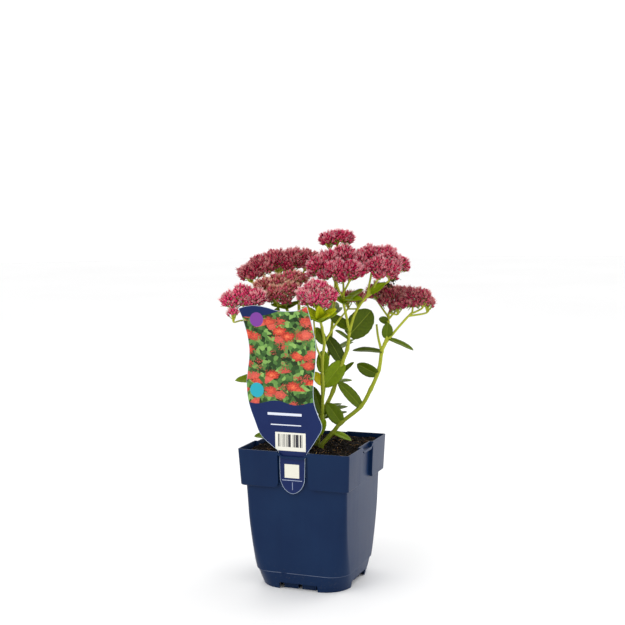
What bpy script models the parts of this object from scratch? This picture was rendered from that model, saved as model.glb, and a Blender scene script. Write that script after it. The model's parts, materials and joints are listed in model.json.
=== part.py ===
"""Stonecrop (sedum) in flower, in a square nursery pot with its plant label.

The origin is on the pot's axis at its base, +Z is up, the labelled side faces -Y.
Lengths are metres. Points of the plant are given as it is seen with the pot's front right
corner turned to the eye, in millimetres: across to the right, behind the pot's axis, and up.
"""
import math
import random

import bmesh
import bpy
from mathutils import Matrix, Vector

MM = 0.001
UP = Vector((0.0, 0.0, 1.0))

# Pot
WALL = 1.2 * MM
SOLID_GAP = 0.3 * MM
POT_HEIGHT = 133.0 * MM
COLLAR_HEIGHT = 34.4 * MM
COLLAR_BASE = POT_HEIGHT - COLLAR_HEIGHT
BASE_RING = 16.0 * MM
CORNER_STEPS = 3
OVERSHOOT = 2.0 * MM
JOIN_DEPTH = 0.2 * MM
FOOT_HALF = 43.5 * MM
FOOT_CORNER = 26.0 * MM
RIM_HALF = 55.0 * MM
SMALLEST_CORNER = 0.6 * MM
# Height, half width and corner radius, from the ground up
BODY_LEVELS = (
    (0.0, FOOT_HALF, FOOT_CORNER),
    (BASE_RING, 46.0 * MM, 19.0 * MM),
    (BASE_RING + 0.4 * MM, 46.7 * MM, 18.0 * MM),
    (31.0 * MM, 47.4 * MM, 13.0 * MM),
    (50.0 * MM, 48.2 * MM, 8.5 * MM),
    (69.0 * MM, 49.0 * MM, 6.0 * MM),
    (COLLAR_BASE, 50.0 * MM, 5.0 * MM),
    (POT_HEIGHT, 51.7 * MM, 5.0 * MM),
)
COLLAR_LEVELS = (
    (COLLAR_BASE, 52.7 * MM, 3.5 * MM),
    (COLLAR_BASE + 1.0 * MM, 53.4 * MM, 3.0 * MM),
    (POT_HEIGHT, RIM_HALF, 2.5 * MM),
)
FLOOR_UNDERSIDE = 7.0 * MM
FLOOR_TOP = 8.6 * MM
DRAIN_RADIUS = 5.0 * MM
DRAIN_PITCH = 24.0 * MM
DRAIN_SIDES = 8
CENTRE_FOOT_RADIUS = 12.0 * MM
CENTRE_FOOT_SIDES = 12

# Label recess and strap, the same on each side of the collar
RECESS_WIDTH = 30.0 * MM
RECESS_FLARE = 3.5 * MM
RECESS_FLARE_HEIGHT = 5.0 * MM
# The flare's curve: its share of the full flare at a share of its height
RECESS_FLARE_CURVE = ((0.7, 0.1), (0.2, 0.45))
RECESS_DEPTH = 30.0 * MM
STRAP_HEIGHT = 2.2 * MM
STRAP_END_DROP = 1.0 * MM
STRAP_MIDDLE_DROP = 4.0 * MM
STRAP_STATIONS = 5
STRAP_FLATNESS = 4.0

# Notches in the base ring, with pads standing behind them
NOTCH_WIDTH = 38.0 * MM
NOTCH_HEIGHT = 6.2 * MM
NOTCH_INNER = 40.0 * MM
PAD_SETBACK = 4.5 * MM
PAD_THICKNESS = 3.0 * MM
PAD_GAP = 4.0 * MM
PAD_WIDTH = 14.0 * MM

# Soil
SOIL_LEVEL = 129.6 * MM
SOIL_ROUGHNESS = 1.4 * MM
SOIL_CELLS = 6
SOIL_GRID_HALF = 60.0 * MM
STEM_FOOT = 106.0
STEM_COLLAR = 132.0
HOLE_CLEARANCE = 0.5 * MM
HOLE_SIDES = 8

# Label: its outline is seen from the front, as x and z in millimetres
LABEL_THICKNESS = 0.6 * MM
LABEL_FACE_Y = -52.6 * MM
LABEL_LEFT = ((-52.3, 264.0), (-47.2, 251.4), (-43.0, 235.0), (-42.2, 221.0), (-44.0, 207.0),
              (-45.3, 193.0), (-43.5, 177.0), (-37.8, 160.5), (-30.9, 146.0), (-14.4, 133.0))
LABEL_TONGUE = ((-13.4, 128.0), (-13.2, 110.0), (-12.3, 104.0), (-8.5, 97.5), (-1.0, 93.8),
                (6.5, 97.5), (10.3, 104.0), (11.2, 110.0), (11.8, 128.0))
LABEL_RIGHT = ((14.2, 133.0), (23.0, 146.0), (28.7, 157.3), (24.7, 168.7), (21.0, 180.4), (20.7, 196.0),
               (22.9, 214.3), (23.6, 232.5), (19.9, 250.5), (15.3, 267.6))
LABEL_TOP = ((9.0, 264.3), (3.6, 262.8), (-6.0, 262.3), (-14.1, 262.9), (-25.9, 265.8), (-35.8, 267.0),
             (-45.0, 266.0))

# Stems and leaves
VIEW_TURN = math.radians(21.2)
STEM_RESOLUTION = 1
BRANCH_RESOLUTION = 0
ROUTE_STEPS = 2
LEAF_THICKNESS = 1.7
LEAF_STATIONS = 6
STEM_STEPS = 1
LEAF_TOOTH = 0.05
LEAF_NARROWEST = 0.12
LEAF_ROOT_SHARE = 0.05
LEAF_FULLNESS = 0.75
LEAF_WIDEST_SHIFT = 0.9
LEAF_THINNING = 0.45
LEAF_CUP = 0.14
LEAF_DROOP = 0.10
LEAF_CLEARANCE = 2.6
STATION_PITCH = 4.0
LABEL_CLEARANCE = 6.0
FULL_TURN = 2.0 * math.pi
GOLDEN_TURN = math.pi * (3.0 - math.sqrt(5.0))

# Flower heads: a lobe is a low dome of facets, and each facet that is bare is drawn out to a pointed bud
BUD_PITCH = 6.3
BUD_STAND = (3.0, 4.4)
BUD_LEAN = 0.35
BUD_CROWDING = 1.4
FEWEST_BUDS = 9
LOWEST_BUD = -0.55
LOBE_MARGIN = 1.6
LOBE_BASE = -0.5
LOBE_BASE_REACH = 0.78
LOBE_BASE_SIDES = 7
LOBE_SPREAD = 62.0
LOBE_LAST_POLAR = 1.85
LOBE_FLATNESS = 0.78
LOBE_OVERLAP = 0.86
STALK_ROOM = 6.0
BRANCH_STEP = 2.6
RAY_COUNT = 2
RAY_RUN = 7.0
RAY_STEP = 1.3
RAY_REACH = 0.55
RAY_CLEARANCE = 0.9
RAY_RADII = (0.9, 0.7)
SEED = 7

COLOURS = {
    "pot": ((0.020, 0.035, 0.105), 0.45),
    "soil": ((0.030, 0.020, 0.014), 0.95),
    "label": ((0.030, 0.050, 0.160), 0.30),
    "stem": ((0.290, 0.360, 0.050), 0.55),
    "head": ((0.330, 0.020, 0.080), 0.60),
}

# Each stem: root (across, behind), radius at the foot and at the top, the route above the soil,
# and its branches: the head that each carries, the route point it leaves from, and its own route
STEMS = {
    "stem_right": {
        "root": (7, -15), "radius": (2.7, 1.9),
        "route": ((18, -12, 143), (26, -9, 152), (45, -2, 166), (55, 2, 182), (63, 5, 200),
                  (66, 8, 217), (69, 10, 224), (72, 13, 233), (73, 18, 245)),
        "branches": (("head_far_right", 7, ((79, 12, 236), (89, 14, 247), (96, 15, 254))),
                     ("head_right", 9, ((74, 24, 253),)),
                     ("", 6, ((63, 14, 231), (62, 20, 242)))),
    },
    "stem_middle": {
        "root": (3, -3), "radius": (2.8, 2.1),
        "route": ((7, -2, 149), (12, -1, 166), (19, 0, 181), (28, 1, 208), (33, 1, 221), (35, 1, 237)),
        "branches": (("head_centre", 6, ((32, -1, 254), (28, -2, 272))),
                     ("head_centre_right", 6, ((40, 3, 253), (48, 5, 266), (58, 6, 276)))),
    },
    "stem_front": {
        "root": (-4, -22), "radius": (2.3, 1.5),
        "route": ((4, -18, 145), (8, -17, 158), (9, -17, 190), (9, -17, 213), (11, -18, 229),
                  (9, -22, 244), (7, -27, 253)),
        "branches": (("head_front", 7, ()),
                     ("", 4, ((3, -17, 228), (2, -20, 244), (1, -27, 258))),
                     ("head_pale", 5, ((18, -10, 240), (25, -3, 249), (31, 7, 255), (35, 16, 259)))),
    },
    "stem_tall_left": {
        "root": (-12, 6), "radius": (2.6, 1.9),
        "route": ((-12, 7, 150), (-12, 10, 195), (-12, 15, 235), (-13, 22, 276)),
        "branches": (("head_left", 4, ((-20, 25, 285),)),),
    },
    "stem_left": {
        "root": (-17, -9), "radius": (2.2, 1.6),
        "route": ((-16, -8, 174), (-16, -7, 222), (-19, -5, 246), (-24, -4, 261)),
        "branches": (("head_mid_left", 4, ((-27, -5, 265),)),),
    },
    "stem_far_left": {
        "root": (-26, 3), "radius": (2.2, 1.5),
        "route": ((-29, 3, 173), (-37, 1, 216), (-49, -1, 238), (-59, -5, 250)),
        "branches": (("head_low_left", 4, ((-64, -10, 259),)),
                     ("head_small_left", 4, ((-68, -14, 246),))),
    },
    "stem_rear": {
        "root": (4, 14), "radius": (2.4, 1.5),
        "route": ((6, 15, 150), (12, 19, 190), (18, 24, 232), (22, 26, 270), (24, 19, 305)),
        "branches": (("head_top", 5, ((25, 13, 313),)),),
    },
}

# Each flower head: its lobes, as the middle of each domed cluster and its radius
HEADS = {
    "head_top": ((16, 10, 325, 9), (25, 8, 328, 9.5), (33, 12, 326, 9)),
    "head_left": ((-62, 22, 294, 10), (-49, 22, 301, 12), (-33, 20, 305, 13), (-16, 22, 306, 13),
                  (-2, 26, 305, 12), (-30, 36, 301, 12)),
    "head_centre": ((6, -8, 302, 11), (17, -5, 307, 11), (31, -3, 310, 12), (22, -17, 299, 11),
                    (38, -14, 298, 11)),
    "head_centre_right": ((55, 6, 310, 12), (70, 8, 309, 12), (82, 10, 301, 11), (61, -7, 301, 11),
                          (74, -5, 297, 10), (67, 21, 304, 11)),
    "head_low_left": ((-76, -16, 271, 10), (-64, -18, 276, 11), (-52, -22, 273, 10)),
    "head_small_left": ((-76, -24, 255, 6),),
    "head_mid_left": ((-44, 0, 281, 11), (-31, 0, 285, 11), (-18, -1, 288, 11), (-33, -13, 276, 10),
                      (-20, -13, 279, 10)),
    "head_front": ((4, -30, 282, 10), (-6, -32, 277, 9), (14, -32, 276, 10), (4, -39, 273, 9)),
    "head_pale": ((34, 24, 268, 9), (45, 22, 268, 8)),
    "head_right": ((62, 34, 273, 10), (76, 32, 270, 11), (88, 37, 270, 10), (84, 26, 261, 8)),
    "head_far_right": ((95, 15, 271, 9), (106, 14, 269, 9.5), (112, 22, 263, 8)),
}

# Leaves that are seen: root, tip, width, and the way the upper face looks
LEAVES = {
    "stem_right": (
        ((66, 8, 217), (38, 5, 220), 10, (0.0, -0.35, 1.0)),
        ((76, 11, 228), (97, 8, 219), 9, (0.2, -0.4, 1.0)),
        ((72, 12, 231), (72, 8, 245), 10, (0.1, -1.0, 0.1)),
        ((73, 18, 245), (64, 16, 248), 7, (0.0, -1.0, 0.4)),
        ((62, 5, 194), (42, 3, 206), 12, (0.0, -1.0, -0.3)),
        ((45, -2, 166), (24, -5, 191), 11, (0.4, -1.0, 0.3)),
        ((26, -9, 152), (13, -9, 171), 13, (0.0, -1.0, 0.2)),
        ((18, -12, 143), (36, -12, 136), 9, (0.0, -0.4, 1.0)),
    ),
    "stem_middle": (
        ((35, 1, 235), (57, 10, 257), 22, (0.1, -1.0, 0.2)),
        ((34, 1, 229), (22, -3, 240), 7, (0.0, -0.5, 1.0)),
        ((35, 1, 239), (17, 9, 253), 10, (0.2, -1.0, 0.5)),
        ((29, 1, 208), (10, -7, 186), 16, (0.1, -1.0, 0.1)),
        ((28, 1, 208), (14, 3, 234), 12, (0.2, -1.0, 0.1)),
        ((24, 1, 196), (39, 1, 209), 6, (0.0, -0.6, 1.0)),
        ((32, -1, 267), (48, -6, 279), 10, (-0.2, -0.5, 1.0)),
        ((32, -1, 268), (14, -6, 281), 10, (0.2, -0.5, 1.0)),
    ),
    "stem_front": (
        ((11, -18, 229), (3, -15, 244), 9, (0.0, -1.0, 0.1)),
        ((5, -18, 141), (11, -21, 158), 9, (0.1, -1.0, 0.1)),
        ((8, -17, 160), (0, -13, 188), 9, (0.0, -1.0, 0.0)),
        ((9, -17, 190), (1, -15, 202), 8, (0.0, -1.0, 0.2)),
        ((9, -17, 200), (10, -10, 222), 11, (0.0, -1.0, 0.2)),
        ((8, -24, 250), (-9, -29, 259), 9, (0.1, -0.6, 1.0)),
        ((8, -24, 250), (23, -31, 259), 9, (-0.1, -0.6, 1.0)),
        ((8, -24, 250), (12, -40, 256), 9, (0.0, -0.5, 1.0)),
        ((8, -24, 250), (-3, -38, 256), 9, (0.1, -0.6, 1.0)),
    ),
    "stem_far_left": (
        ((-33, 2, 192), (-74, -2, 194), 13, (0.0, -0.7, 1.0)),
        ((-27, 3, 136), (-57, 2, 139), 13, (0.0, -0.4, 1.0)),
        ((-44, -1, 238), (-31, -4, 262), 10, (0.2, -1.0, 0.2)),
    ),
}

# Leaves that are hidden behind the label and at the back follow a rule: height of each pair
LEAF_PAIRS = {
    "stem_middle": (160,),
    "stem_tall_left": (150, 182, 214, 244),
    "stem_left": (166, 200, 232),
    "stem_far_left": (165,),
    "stem_rear": (150, 182, 214, 250),
}
PAIR_LENGTH = (24.0, 33.0)
PAIR_WIDTH = (11.0, 16.0)
PAIR_RISE = (0.25, 0.65)
PAIR_TRIES = 8


def seen(across, behind, up):
    """Turn a point, in millimetres as the plant is seen, into the pot's own axes."""
    cos, sin = math.cos(VIEW_TURN), math.sin(VIEW_TURN)
    return Vector((across * cos - behind * sin, across * sin + behind * cos, up))


def clear_scene():
    for item in list(bpy.data.objects):
        bpy.data.objects.remove(item, do_unlink=True)


def material(name):
    colour, roughness = COLOURS[name]
    made = bpy.data.materials.new(name)
    made.use_nodes = True
    shader = made.node_tree.nodes["Principled BSDF"]
    shader.inputs["Base Color"].default_value = (*colour, 1.0)
    shader.inputs["Roughness"].default_value = roughness
    made.diffuse_color = (*colour, 1.0)
    return made


def mesh_object(name, form):
    """Put a bmesh into the scene as an object."""
    bmesh.ops.recalc_face_normals(form, faces=form.faces)
    mesh = bpy.data.meshes.new(name)
    form.to_mesh(mesh)
    form.free()
    made = bpy.data.objects.new(name, mesh)
    bpy.context.scene.collection.objects.link(made)
    return made


def loft(name, rings):
    """Skin rings of equal numbers of points into one closed solid."""
    form = bmesh.new()
    loops = [[form.verts.new(point) for point in ring] for ring in rings]
    count = len(loops[0])
    for lower, upper in zip(loops, loops[1:]):
        for i in range(count):
            j = (i + 1) % count
            form.faces.new((lower[i], lower[j], upper[j], upper[i]))
    form.faces.new(reversed(loops[0]))
    form.faces.new(loops[-1])
    return mesh_object(name, form)


def box(name, low, high):
    form = bmesh.new()
    bmesh.ops.create_cube(form, size=1.0)
    size = Vector(high) - Vector(low)
    middle = (Vector(high) + Vector(low)) / 2.0
    place = Matrix.Translation(middle) @ Matrix.Diagonal((*size, 1.0))
    bmesh.ops.transform(form, matrix=place, verts=form.verts)
    return mesh_object(name, form)


def upright_cylinder(name, centre, radius, low, high, sides):
    form = bmesh.new()
    place = Matrix.Translation((centre[0], centre[1], (low + high) / 2.0))
    bmesh.ops.create_cone(form, cap_ends=True, segments=sides, radius1=radius, radius2=radius,
                          depth=high - low, matrix=place)
    return mesh_object(name, form)


def prism(name, outline, depth):
    """Stand a flat outline, given as x and z, in the plane y = 0 and thicken it backwards."""
    form = bmesh.new()
    face = form.faces.new([form.verts.new((x, 0.0, z)) for x, z in outline])
    grown = bmesh.ops.extrude_face_region(form, geom=[face])
    back = [item for item in grown["geom"] if isinstance(item, bmesh.types.BMVert)]
    bmesh.ops.translate(form, vec=(0.0, depth, 0.0), verts=back)
    return mesh_object(name, form)


def boolean(target, others, operation, solver="EXACT"):
    """Apply one Boolean of a collection of solids to the target, and remove them."""
    group = bpy.data.collections.new("operands")
    bpy.context.scene.collection.children.link(group)
    for other in others:
        group.objects.link(other)
    modifier = target.modifiers.new("Boolean", "BOOLEAN")
    modifier.operation = operation
    modifier.operand_type = "COLLECTION"
    modifier.collection = group
    modifier.solver = solver
    graph = bpy.context.evaluated_depsgraph_get()
    result = bpy.data.meshes.new_from_object(target.evaluated_get(graph))
    target.modifiers.clear()
    target.data = result
    for other in list(group.objects):
        bpy.data.objects.remove(other, do_unlink=True)
    bpy.data.collections.remove(group)
    return target


def keep_main_body(target):
    """Fill a small hollow that fusing sealed and drop a loose scrap: only the largest skin stays."""
    form = bmesh.new()
    form.from_mesh(target.data)
    waiting = set(form.verts)
    skins = []
    while waiting:
        skin = {waiting.pop()}
        front = list(skin)
        while front:
            vertex = front.pop()
            for edge in vertex.link_edges:
                other = edge.other_vert(vertex)
                if other in waiting:
                    waiting.remove(other)
                    skin.add(other)
                    front.append(other)
        skins.append(skin)
    skins.sort(key=len)
    for skin in skins[:-1]:
        bmesh.ops.delete(form, geom=list(skin), context="VERTS")
    form.to_mesh(target.data)
    form.free()
    return target


def finish(target, name, look, parts):
    """Name a finished solid, give it its material and put it in the part's collection."""
    target.name = name
    target.data.name = name
    target.data.materials.clear()
    target.data.materials.append(look)
    for group in list(target.users_collection):
        group.objects.unlink(target)
    parts.objects.link(target)
    return target


def rounded_ring(height, half, corner, inset):
    """A square ring with round corners, drawn in by the inset."""
    half -= inset
    corner = max(corner - inset, SMALLEST_CORNER)
    ring = []
    for quarter in range(4):
        turn = Matrix.Rotation(quarter * math.pi / 2.0, 3, "Z")
        for step in range(CORNER_STEPS + 1):
            angle = step / CORNER_STEPS * math.pi / 2.0
            reach = Vector((math.cos(angle), math.sin(angle), 0.0)) * corner
            ring.append(turn @ (Vector((half - corner, half - corner, height)) + reach))
    return ring


def level_at(levels, height):
    """The half width and corner radius of a set of levels at one height."""
    for (low, half_low, corner_low), (high, half_high, corner_high) in zip(levels, levels[1:]):
        if low <= height <= high:
            share = (height - low) / (high - low)
            half = half_low + (half_high - half_low) * share
            corner = corner_low + (corner_high - corner_low) * share
            return height, half, corner
    return height, levels[-1][1], levels[-1][2]


def block(name, levels, bottom, top, inset):
    """The solid inside a set of levels, between two heights."""
    inner = [level for level in levels if bottom < level[0] < top]
    cut = [level_at(levels, bottom), *inner, level_at(levels, min(top, POT_HEIGHT))]
    rings = [rounded_ring(*level, inset) for level in cut]
    if top > POT_HEIGHT:
        rings.append(rounded_ring(top, cut[-1][1], cut[-1][2], inset))
    return loft(name, rings)


def four_sides(make):
    """Make one shape for each side of the pot, turned about its axis."""
    made = []
    for quarter in range(4):
        shape = make()
        shape.data.transform(Matrix.Rotation(quarter * math.pi / 2.0, 4, "Z"))
        made.append(shape)
    return made


def recess_cutter(margin):
    """The gap in the collar where a label stands, wider at its foot."""
    half = RECESS_WIDTH / 2.0 + margin
    side = [(half + RECESS_FLARE, COLLAR_BASE - OVERSHOOT)]
    for flare, rise in RECESS_FLARE_CURVE:
        side.append((half + RECESS_FLARE * flare, COLLAR_BASE + RECESS_FLARE_HEIGHT * rise))
    side += [(half, COLLAR_BASE + RECESS_FLARE_HEIGHT), (half, POT_HEIGHT + 2.0 * OVERSHOOT)]
    outline = side + [(-x, z) for x, z in reversed(side)]
    cutter = prism("recess", outline, RECESS_DEPTH)
    cutter.data.transform(Matrix.Translation((0.0, -RIM_HALF - OVERSHOOT, 0.0)))
    return cutter


def pot_block(name, bottom, top, inset):
    """The pot's outer form, drawn in by the inset, with its collar and four recesses."""
    body = block(name, BODY_LEVELS, bottom, top, inset)
    collar_bottom = COLLAR_BASE + inset
    collar = block("collar", COLLAR_LEVELS, collar_bottom, top, inset)
    boolean(collar, four_sides(lambda: recess_cutter(inset)), "DIFFERENCE")
    return boolean(body, [collar], "UNION")


def strap():
    """The thin bar across the top of a recess, dipping in its middle."""
    outer = RIM_HALF - JOIN_DEPTH / 2.0
    rings = []
    for station in range(STRAP_STATIONS):
        share = station / (STRAP_STATIONS - 1)
        x = (share - 0.5) * (RECESS_WIDTH + WALL)
        dip = min(1.0, STRAP_FLATNESS * math.sin(share * math.pi) ** 2)
        top = POT_HEIGHT - STRAP_END_DROP - (STRAP_MIDDLE_DROP - STRAP_END_DROP) * dip
        corners = ((-outer, top), (-outer + WALL, top), (-outer + WALL, top - STRAP_HEIGHT),
                   (-outer, top - STRAP_HEIGHT))
        rings.append([Vector((x, y, z)) for y, z in corners])
    return loft("strap", rings)


def pad(side):
    """A pad under the floor, behind a notch, on one side of the drain channel."""
    near = side * PAD_GAP / 2.0
    far = side * (PAD_GAP / 2.0 + PAD_WIDTH)
    front = PAD_SETBACK - FOOT_HALF
    low = (min(near, far), front, 0.0)
    high = (max(near, far), front + PAD_THICKNESS, FLOOR_TOP - JOIN_DEPTH)
    return box("pad", low, high)


def notch():
    half = NOTCH_WIDTH / 2.0
    return box("notch", (-half, -RIM_HALF, -OVERSHOOT), (half, -NOTCH_INNER, NOTCH_HEIGHT))


def make_pot(parts):
    pot = pot_block("pot", 0.0, POT_HEIGHT, 0.0)
    hollow = pot_block("hollow", FLOOR_TOP, POT_HEIGHT + OVERSHOOT, WALL)
    under = [rounded_ring(-OVERSHOOT, FOOT_HALF, FOOT_CORNER, WALL)]
    under.append(rounded_ring(FLOOR_UNDERSIDE, *level_at(BODY_LEVELS, FLOOR_UNDERSIDE)[1:], WALL))
    cuts = [hollow, loft("under floor", under), *four_sides(notch)]
    for side_x in (-1.0, 1.0):
        for side_y in (-1.0, 1.0):
            centre = (side_x * DRAIN_PITCH, side_y * DRAIN_PITCH)
            cuts.append(upright_cylinder("drain", centre, DRAIN_RADIUS, 0.0, 2.0 * FLOOR_TOP,
                                         DRAIN_SIDES))
    boolean(pot, cuts, "DIFFERENCE")
    feet = [upright_cylinder("foot", (0.0, 0.0), CENTRE_FOOT_RADIUS, 0.0, FLOOR_TOP - JOIN_DEPTH,
                             CENTRE_FOOT_SIDES)]
    feet += four_sides(lambda: pad(-1.0)) + four_sides(lambda: pad(1.0))
    boolean(pot, [*feet, *four_sides(strap)], "UNION")
    return finish(pot, "pot", material("pot"), parts)


def make_soil(parts):
    """The root ball: the pot's hollow, less a gap, under an uneven top, with a hole for each stem."""
    soil = pot_block("soil", FLOOR_TOP + SOLID_GAP, POT_HEIGHT + OVERSHOOT, WALL + SOLID_GAP)
    rng = random.Random(SEED)
    form = bmesh.new()
    bmesh.ops.create_grid(form, x_segments=SOIL_CELLS, y_segments=SOIL_CELLS, size=SOIL_GRID_HALF)
    for vertex in form.verts:
        vertex.co.z = SOIL_LEVEL + (rng.random() - 0.5) * SOIL_ROUGHNESS
    grown = bmesh.ops.extrude_face_region(form, geom=form.faces[:])
    for item in grown["geom"]:
        if isinstance(item, bmesh.types.BMVert):
            item.co.z = 2.0 * POT_HEIGHT
    holes = [mesh_object("above the soil", form)]
    for stem in STEMS.values():
        centre = seen(*stem["root"], 0.0) * MM
        radius = stem["radius"][0] * MM + HOLE_CLEARANCE
        low = STEM_FOOT * MM - HOLE_CLEARANCE
        holes.append(upright_cylinder("hole", centre, radius / math.cos(math.pi / HOLE_SIDES), low,
                                      POT_HEIGHT, HOLE_SIDES))
    boolean(soil, holes, "DIFFERENCE")
    return finish(soil, "soil", material("soil"), parts)


def make_label(parts):
    outline = [(x * MM, z * MM) for x, z in LABEL_LEFT + LABEL_TONGUE + LABEL_RIGHT + LABEL_TOP]
    label = prism("plant_label", outline, LABEL_THICKNESS)
    label.data.transform(Matrix.Translation((0.0, LABEL_FACE_Y, 0.0)))
    return finish(label, "plant_label", material("label"), parts)


def smooth_route(points, steps):
    """A smooth curve through the points, with the given steps between each two."""
    padded = [points[0] * 2.0 - points[1], *points, points[-1] * 2.0 - points[-2]]
    route = []
    for before, start, end, after in zip(padded, padded[1:], padded[2:], padded[3:]):
        for step in range(steps):
            t = step / steps
            curve = start * 2.0 + (end - before) * t
            curve += (before * 2.0 - start * 5.0 + end * 4.0 - after) * t * t
            curve += (start * 3.0 - before - end * 3.0 + after) * t * t * t
            route.append(curve * 0.5)
    route.append(points[-1])
    return route


def tube(name, points, radii, resolution):
    """A round stalk along the points, its radius running evenly from the first to the last."""
    curve = bpy.data.curves.new(name, "CURVE")
    curve.dimensions = "3D"
    curve.bevel_depth = MM
    curve.bevel_resolution = resolution
    curve.use_fill_caps = True
    spline = curve.splines.new("POLY")
    spline.points.add(len(points) - 1)
    for i, point in enumerate(points):
        share = i / (len(points) - 1)
        spline.points[i].co = (*(point * MM), 1.0)
        spline.points[i].radius = radii[0] + (radii[1] - radii[0]) * share
    drawn = bpy.data.objects.new(name, curve)
    bpy.context.scene.collection.objects.link(drawn)
    graph = bpy.context.evaluated_depsgraph_get()
    mesh = bpy.data.meshes.new_from_object(drawn.evaluated_get(graph))
    bpy.data.objects.remove(drawn, do_unlink=True)
    form = bmesh.new()
    form.from_mesh(mesh)
    bmesh.ops.remove_doubles(form, verts=form.verts, dist=0.001 * MM)
    return mesh_object(name, form)


def leaf(name, root, tip, width, facing):
    """A fleshy oval leaf with a shallow-toothed edge, cupped along its rib and drooping at its tip."""
    along = tip - root
    length = along.length
    along.normalize()
    side = along.cross(facing).normalized()
    face = side.cross(along).normalized()
    form = bmesh.new()
    rings = []
    for station in range(LEAF_STATIONS):
        share = station / (LEAF_STATIONS - 1)
        swell = (LEAF_ROOT_SHARE + 0.93 * share) ** LEAF_WIDEST_SHIFT
        breadth = LEAF_NARROWEST + (1.0 - LEAF_NARROWEST) * math.sin(math.pi * swell) ** LEAF_FULLNESS
        breadth *= 1.0 + LEAF_TOOTH * (1.0 if station % 2 else -1.0)
        half = width / 2.0 * max(LEAF_NARROWEST, breadth)
        thick = LEAF_THICKNESS / 2.0 * (1.0 - LEAF_THINNING * share)
        rib = root + along * length * share - face * length * LEAF_DROOP * (share * share - share * 0.5)
        edge = rib + face * half * 2.0 * LEAF_CUP
        corners = (edge - side * half, rib + face * thick, edge + side * half, rib - face * thick)
        rings.append([form.verts.new(corner * MM) for corner in corners])
    for lower, upper in zip(rings, rings[1:]):
        for edge_index in (0, 2):
            for rib_index in (1, 3):
                form.faces.new((lower[edge_index], lower[rib_index], upper[rib_index]))
                form.faces.new((lower[edge_index], upper[rib_index], upper[edge_index]))
    form.faces.new(rings[0])
    form.faces.new(rings[-1])
    bmesh.ops.triangulate(form, faces=[item for item in form.faces if len(item.verts) > 3])
    return mesh_object(name, form)


def lobe_frame(head, lobe):
    """The middle of a lobe and the way it grows, leaning out from the middle of its head."""
    centre = seen(*lobe[:3])
    middle = sum((seen(*other[:3]) for other in HEADS[head]), Vector()) / len(HEADS[head])
    lean = (centre - middle) / LOBE_SPREAD
    lean.z = 1.0
    return centre, lean.normalized()


def lobe_base(head, lobe):
    """The middle of a lobe's flat underside."""
    centre, axis = lobe_frame(head, lobe)
    return centre + axis * LOBE_BASE * (lobe[3] - LOBE_MARGIN), axis


def cross_axes(axis):
    side = axis.orthogonal().normalized()
    return side, axis.cross(side).normalized()


def lobe_points(head, lobe):
    """Points over a lobe's dome, set round it by the golden turn, and a ring round its flat base."""
    centre, axis = lobe_frame(head, lobe)
    first, second = cross_axes(axis)
    radius = lobe[3] - LOBE_MARGIN
    count = max(FEWEST_BUDS, round(FULL_TURN * radius * radius / BUD_PITCH ** 2 * BUD_CROWDING))
    points = []
    for i in range(count):
        polar = math.acos(1.0 - (1.0 - math.cos(LOBE_LAST_POLAR)) * (i + 0.5) / count)
        turn = i * GOLDEN_TURN
        out = first * math.cos(turn) + second * math.sin(turn)
        points.append(centre + (out * math.sin(polar) + axis * math.cos(polar) * LOBE_FLATNESS) * radius)
    for i in range(LOBE_BASE_SIDES):
        turn = FULL_TURN * i / LOBE_BASE_SIDES
        out = first * math.cos(turn) + second * math.sin(turn)
        points.append(centre + (out * LOBE_BASE_REACH + axis * LOBE_BASE) * radius)
    return points


def budded_lobe(head, lobe, rng):
    """A faceted dome whose bare facets are drawn out to three-sided pointed buds."""
    centre, axis = lobe_frame(head, lobe)
    form = bmesh.new()
    for point in lobe_points(head, lobe):
        form.verts.new(point)
    bmesh.ops.convex_hull(form, input=form.verts)
    bmesh.ops.triangulate(form, faces=form.faces)
    bmesh.ops.recalc_face_normals(form, faces=form.faces)
    beside = [other for other in HEADS[head] if other is not lobe]
    others = [(lobe_frame(head, other)[0], other[3] * LOBE_OVERLAP) for other in beside]
    for other in beside:
        base, way = lobe_base(head, other)
        others += [(base - way * RAY_RUN * share, STALK_ROOM) for share in (0.0, 0.5, 1.0)]
    bare = []
    for face in form.faces:
        spot = face.calc_center_median()
        hidden = any((spot - place).length < reach for place, reach in others)
        if not hidden and face.normal.dot(axis) > LOWEST_BUD:
            bare.append(face)
    for face in bare:
        lift = (face.normal + axis * BUD_LEAN).normalized() * rng.uniform(*BUD_STAND)
        tip = bmesh.ops.poke(form, faces=[face])["verts"][0]
        tip.co += lift
    bmesh.ops.transform(form, matrix=Matrix.Scale(MM, 4), verts=form.verts)
    return mesh_object("lobe", form)


def make_head(name, look, parts):
    rng = random.Random(SEED + len(parts.objects))
    lobes = [budded_lobe(name, lobe, rng) for lobe in HEADS[name]]
    head = lobes[0]
    if len(lobes) > 1:
        keep_main_body(boolean(head, lobes[1:], "UNION"))
    return finish(head, name, look, parts)


def stem_route(stem):
    foot = seen(*stem["root"], STEM_FOOT)
    collar = seen(*stem["root"], STEM_COLLAR)
    return [foot, *smooth_route([collar, *(seen(*point) for point in stem["route"])], STEM_STEPS)]


def nearest(route, point):
    return min(route, key=lambda spot: (spot - point).length)


def ray(start, end):
    """A slim three-sided stalk, straight from one point to another."""
    form = bmesh.new()
    bmesh.ops.create_cone(form, cap_ends=True, segments=3, radius1=RAY_RADII[0], radius2=RAY_RADII[1],
                          depth=(end - start).length)
    turn = (end - start).to_track_quat("Z", "Y").to_matrix().to_4x4()
    place = Matrix.Scale(MM, 4) @ Matrix.Translation((start + end) / 2.0) @ turn
    bmesh.ops.transform(form, matrix=place, verts=form.verts)
    return mesh_object("ray", form)


def back_along(chain, distance):
    """The point of a chain that lies the distance back from its end."""
    for end, start in zip(reversed(chain), reversed(chain[:-1])):
        step = (end - start).length
        if distance <= step:
            return end.lerp(start, distance / step)
        distance -= step
    return chain[0]


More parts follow.
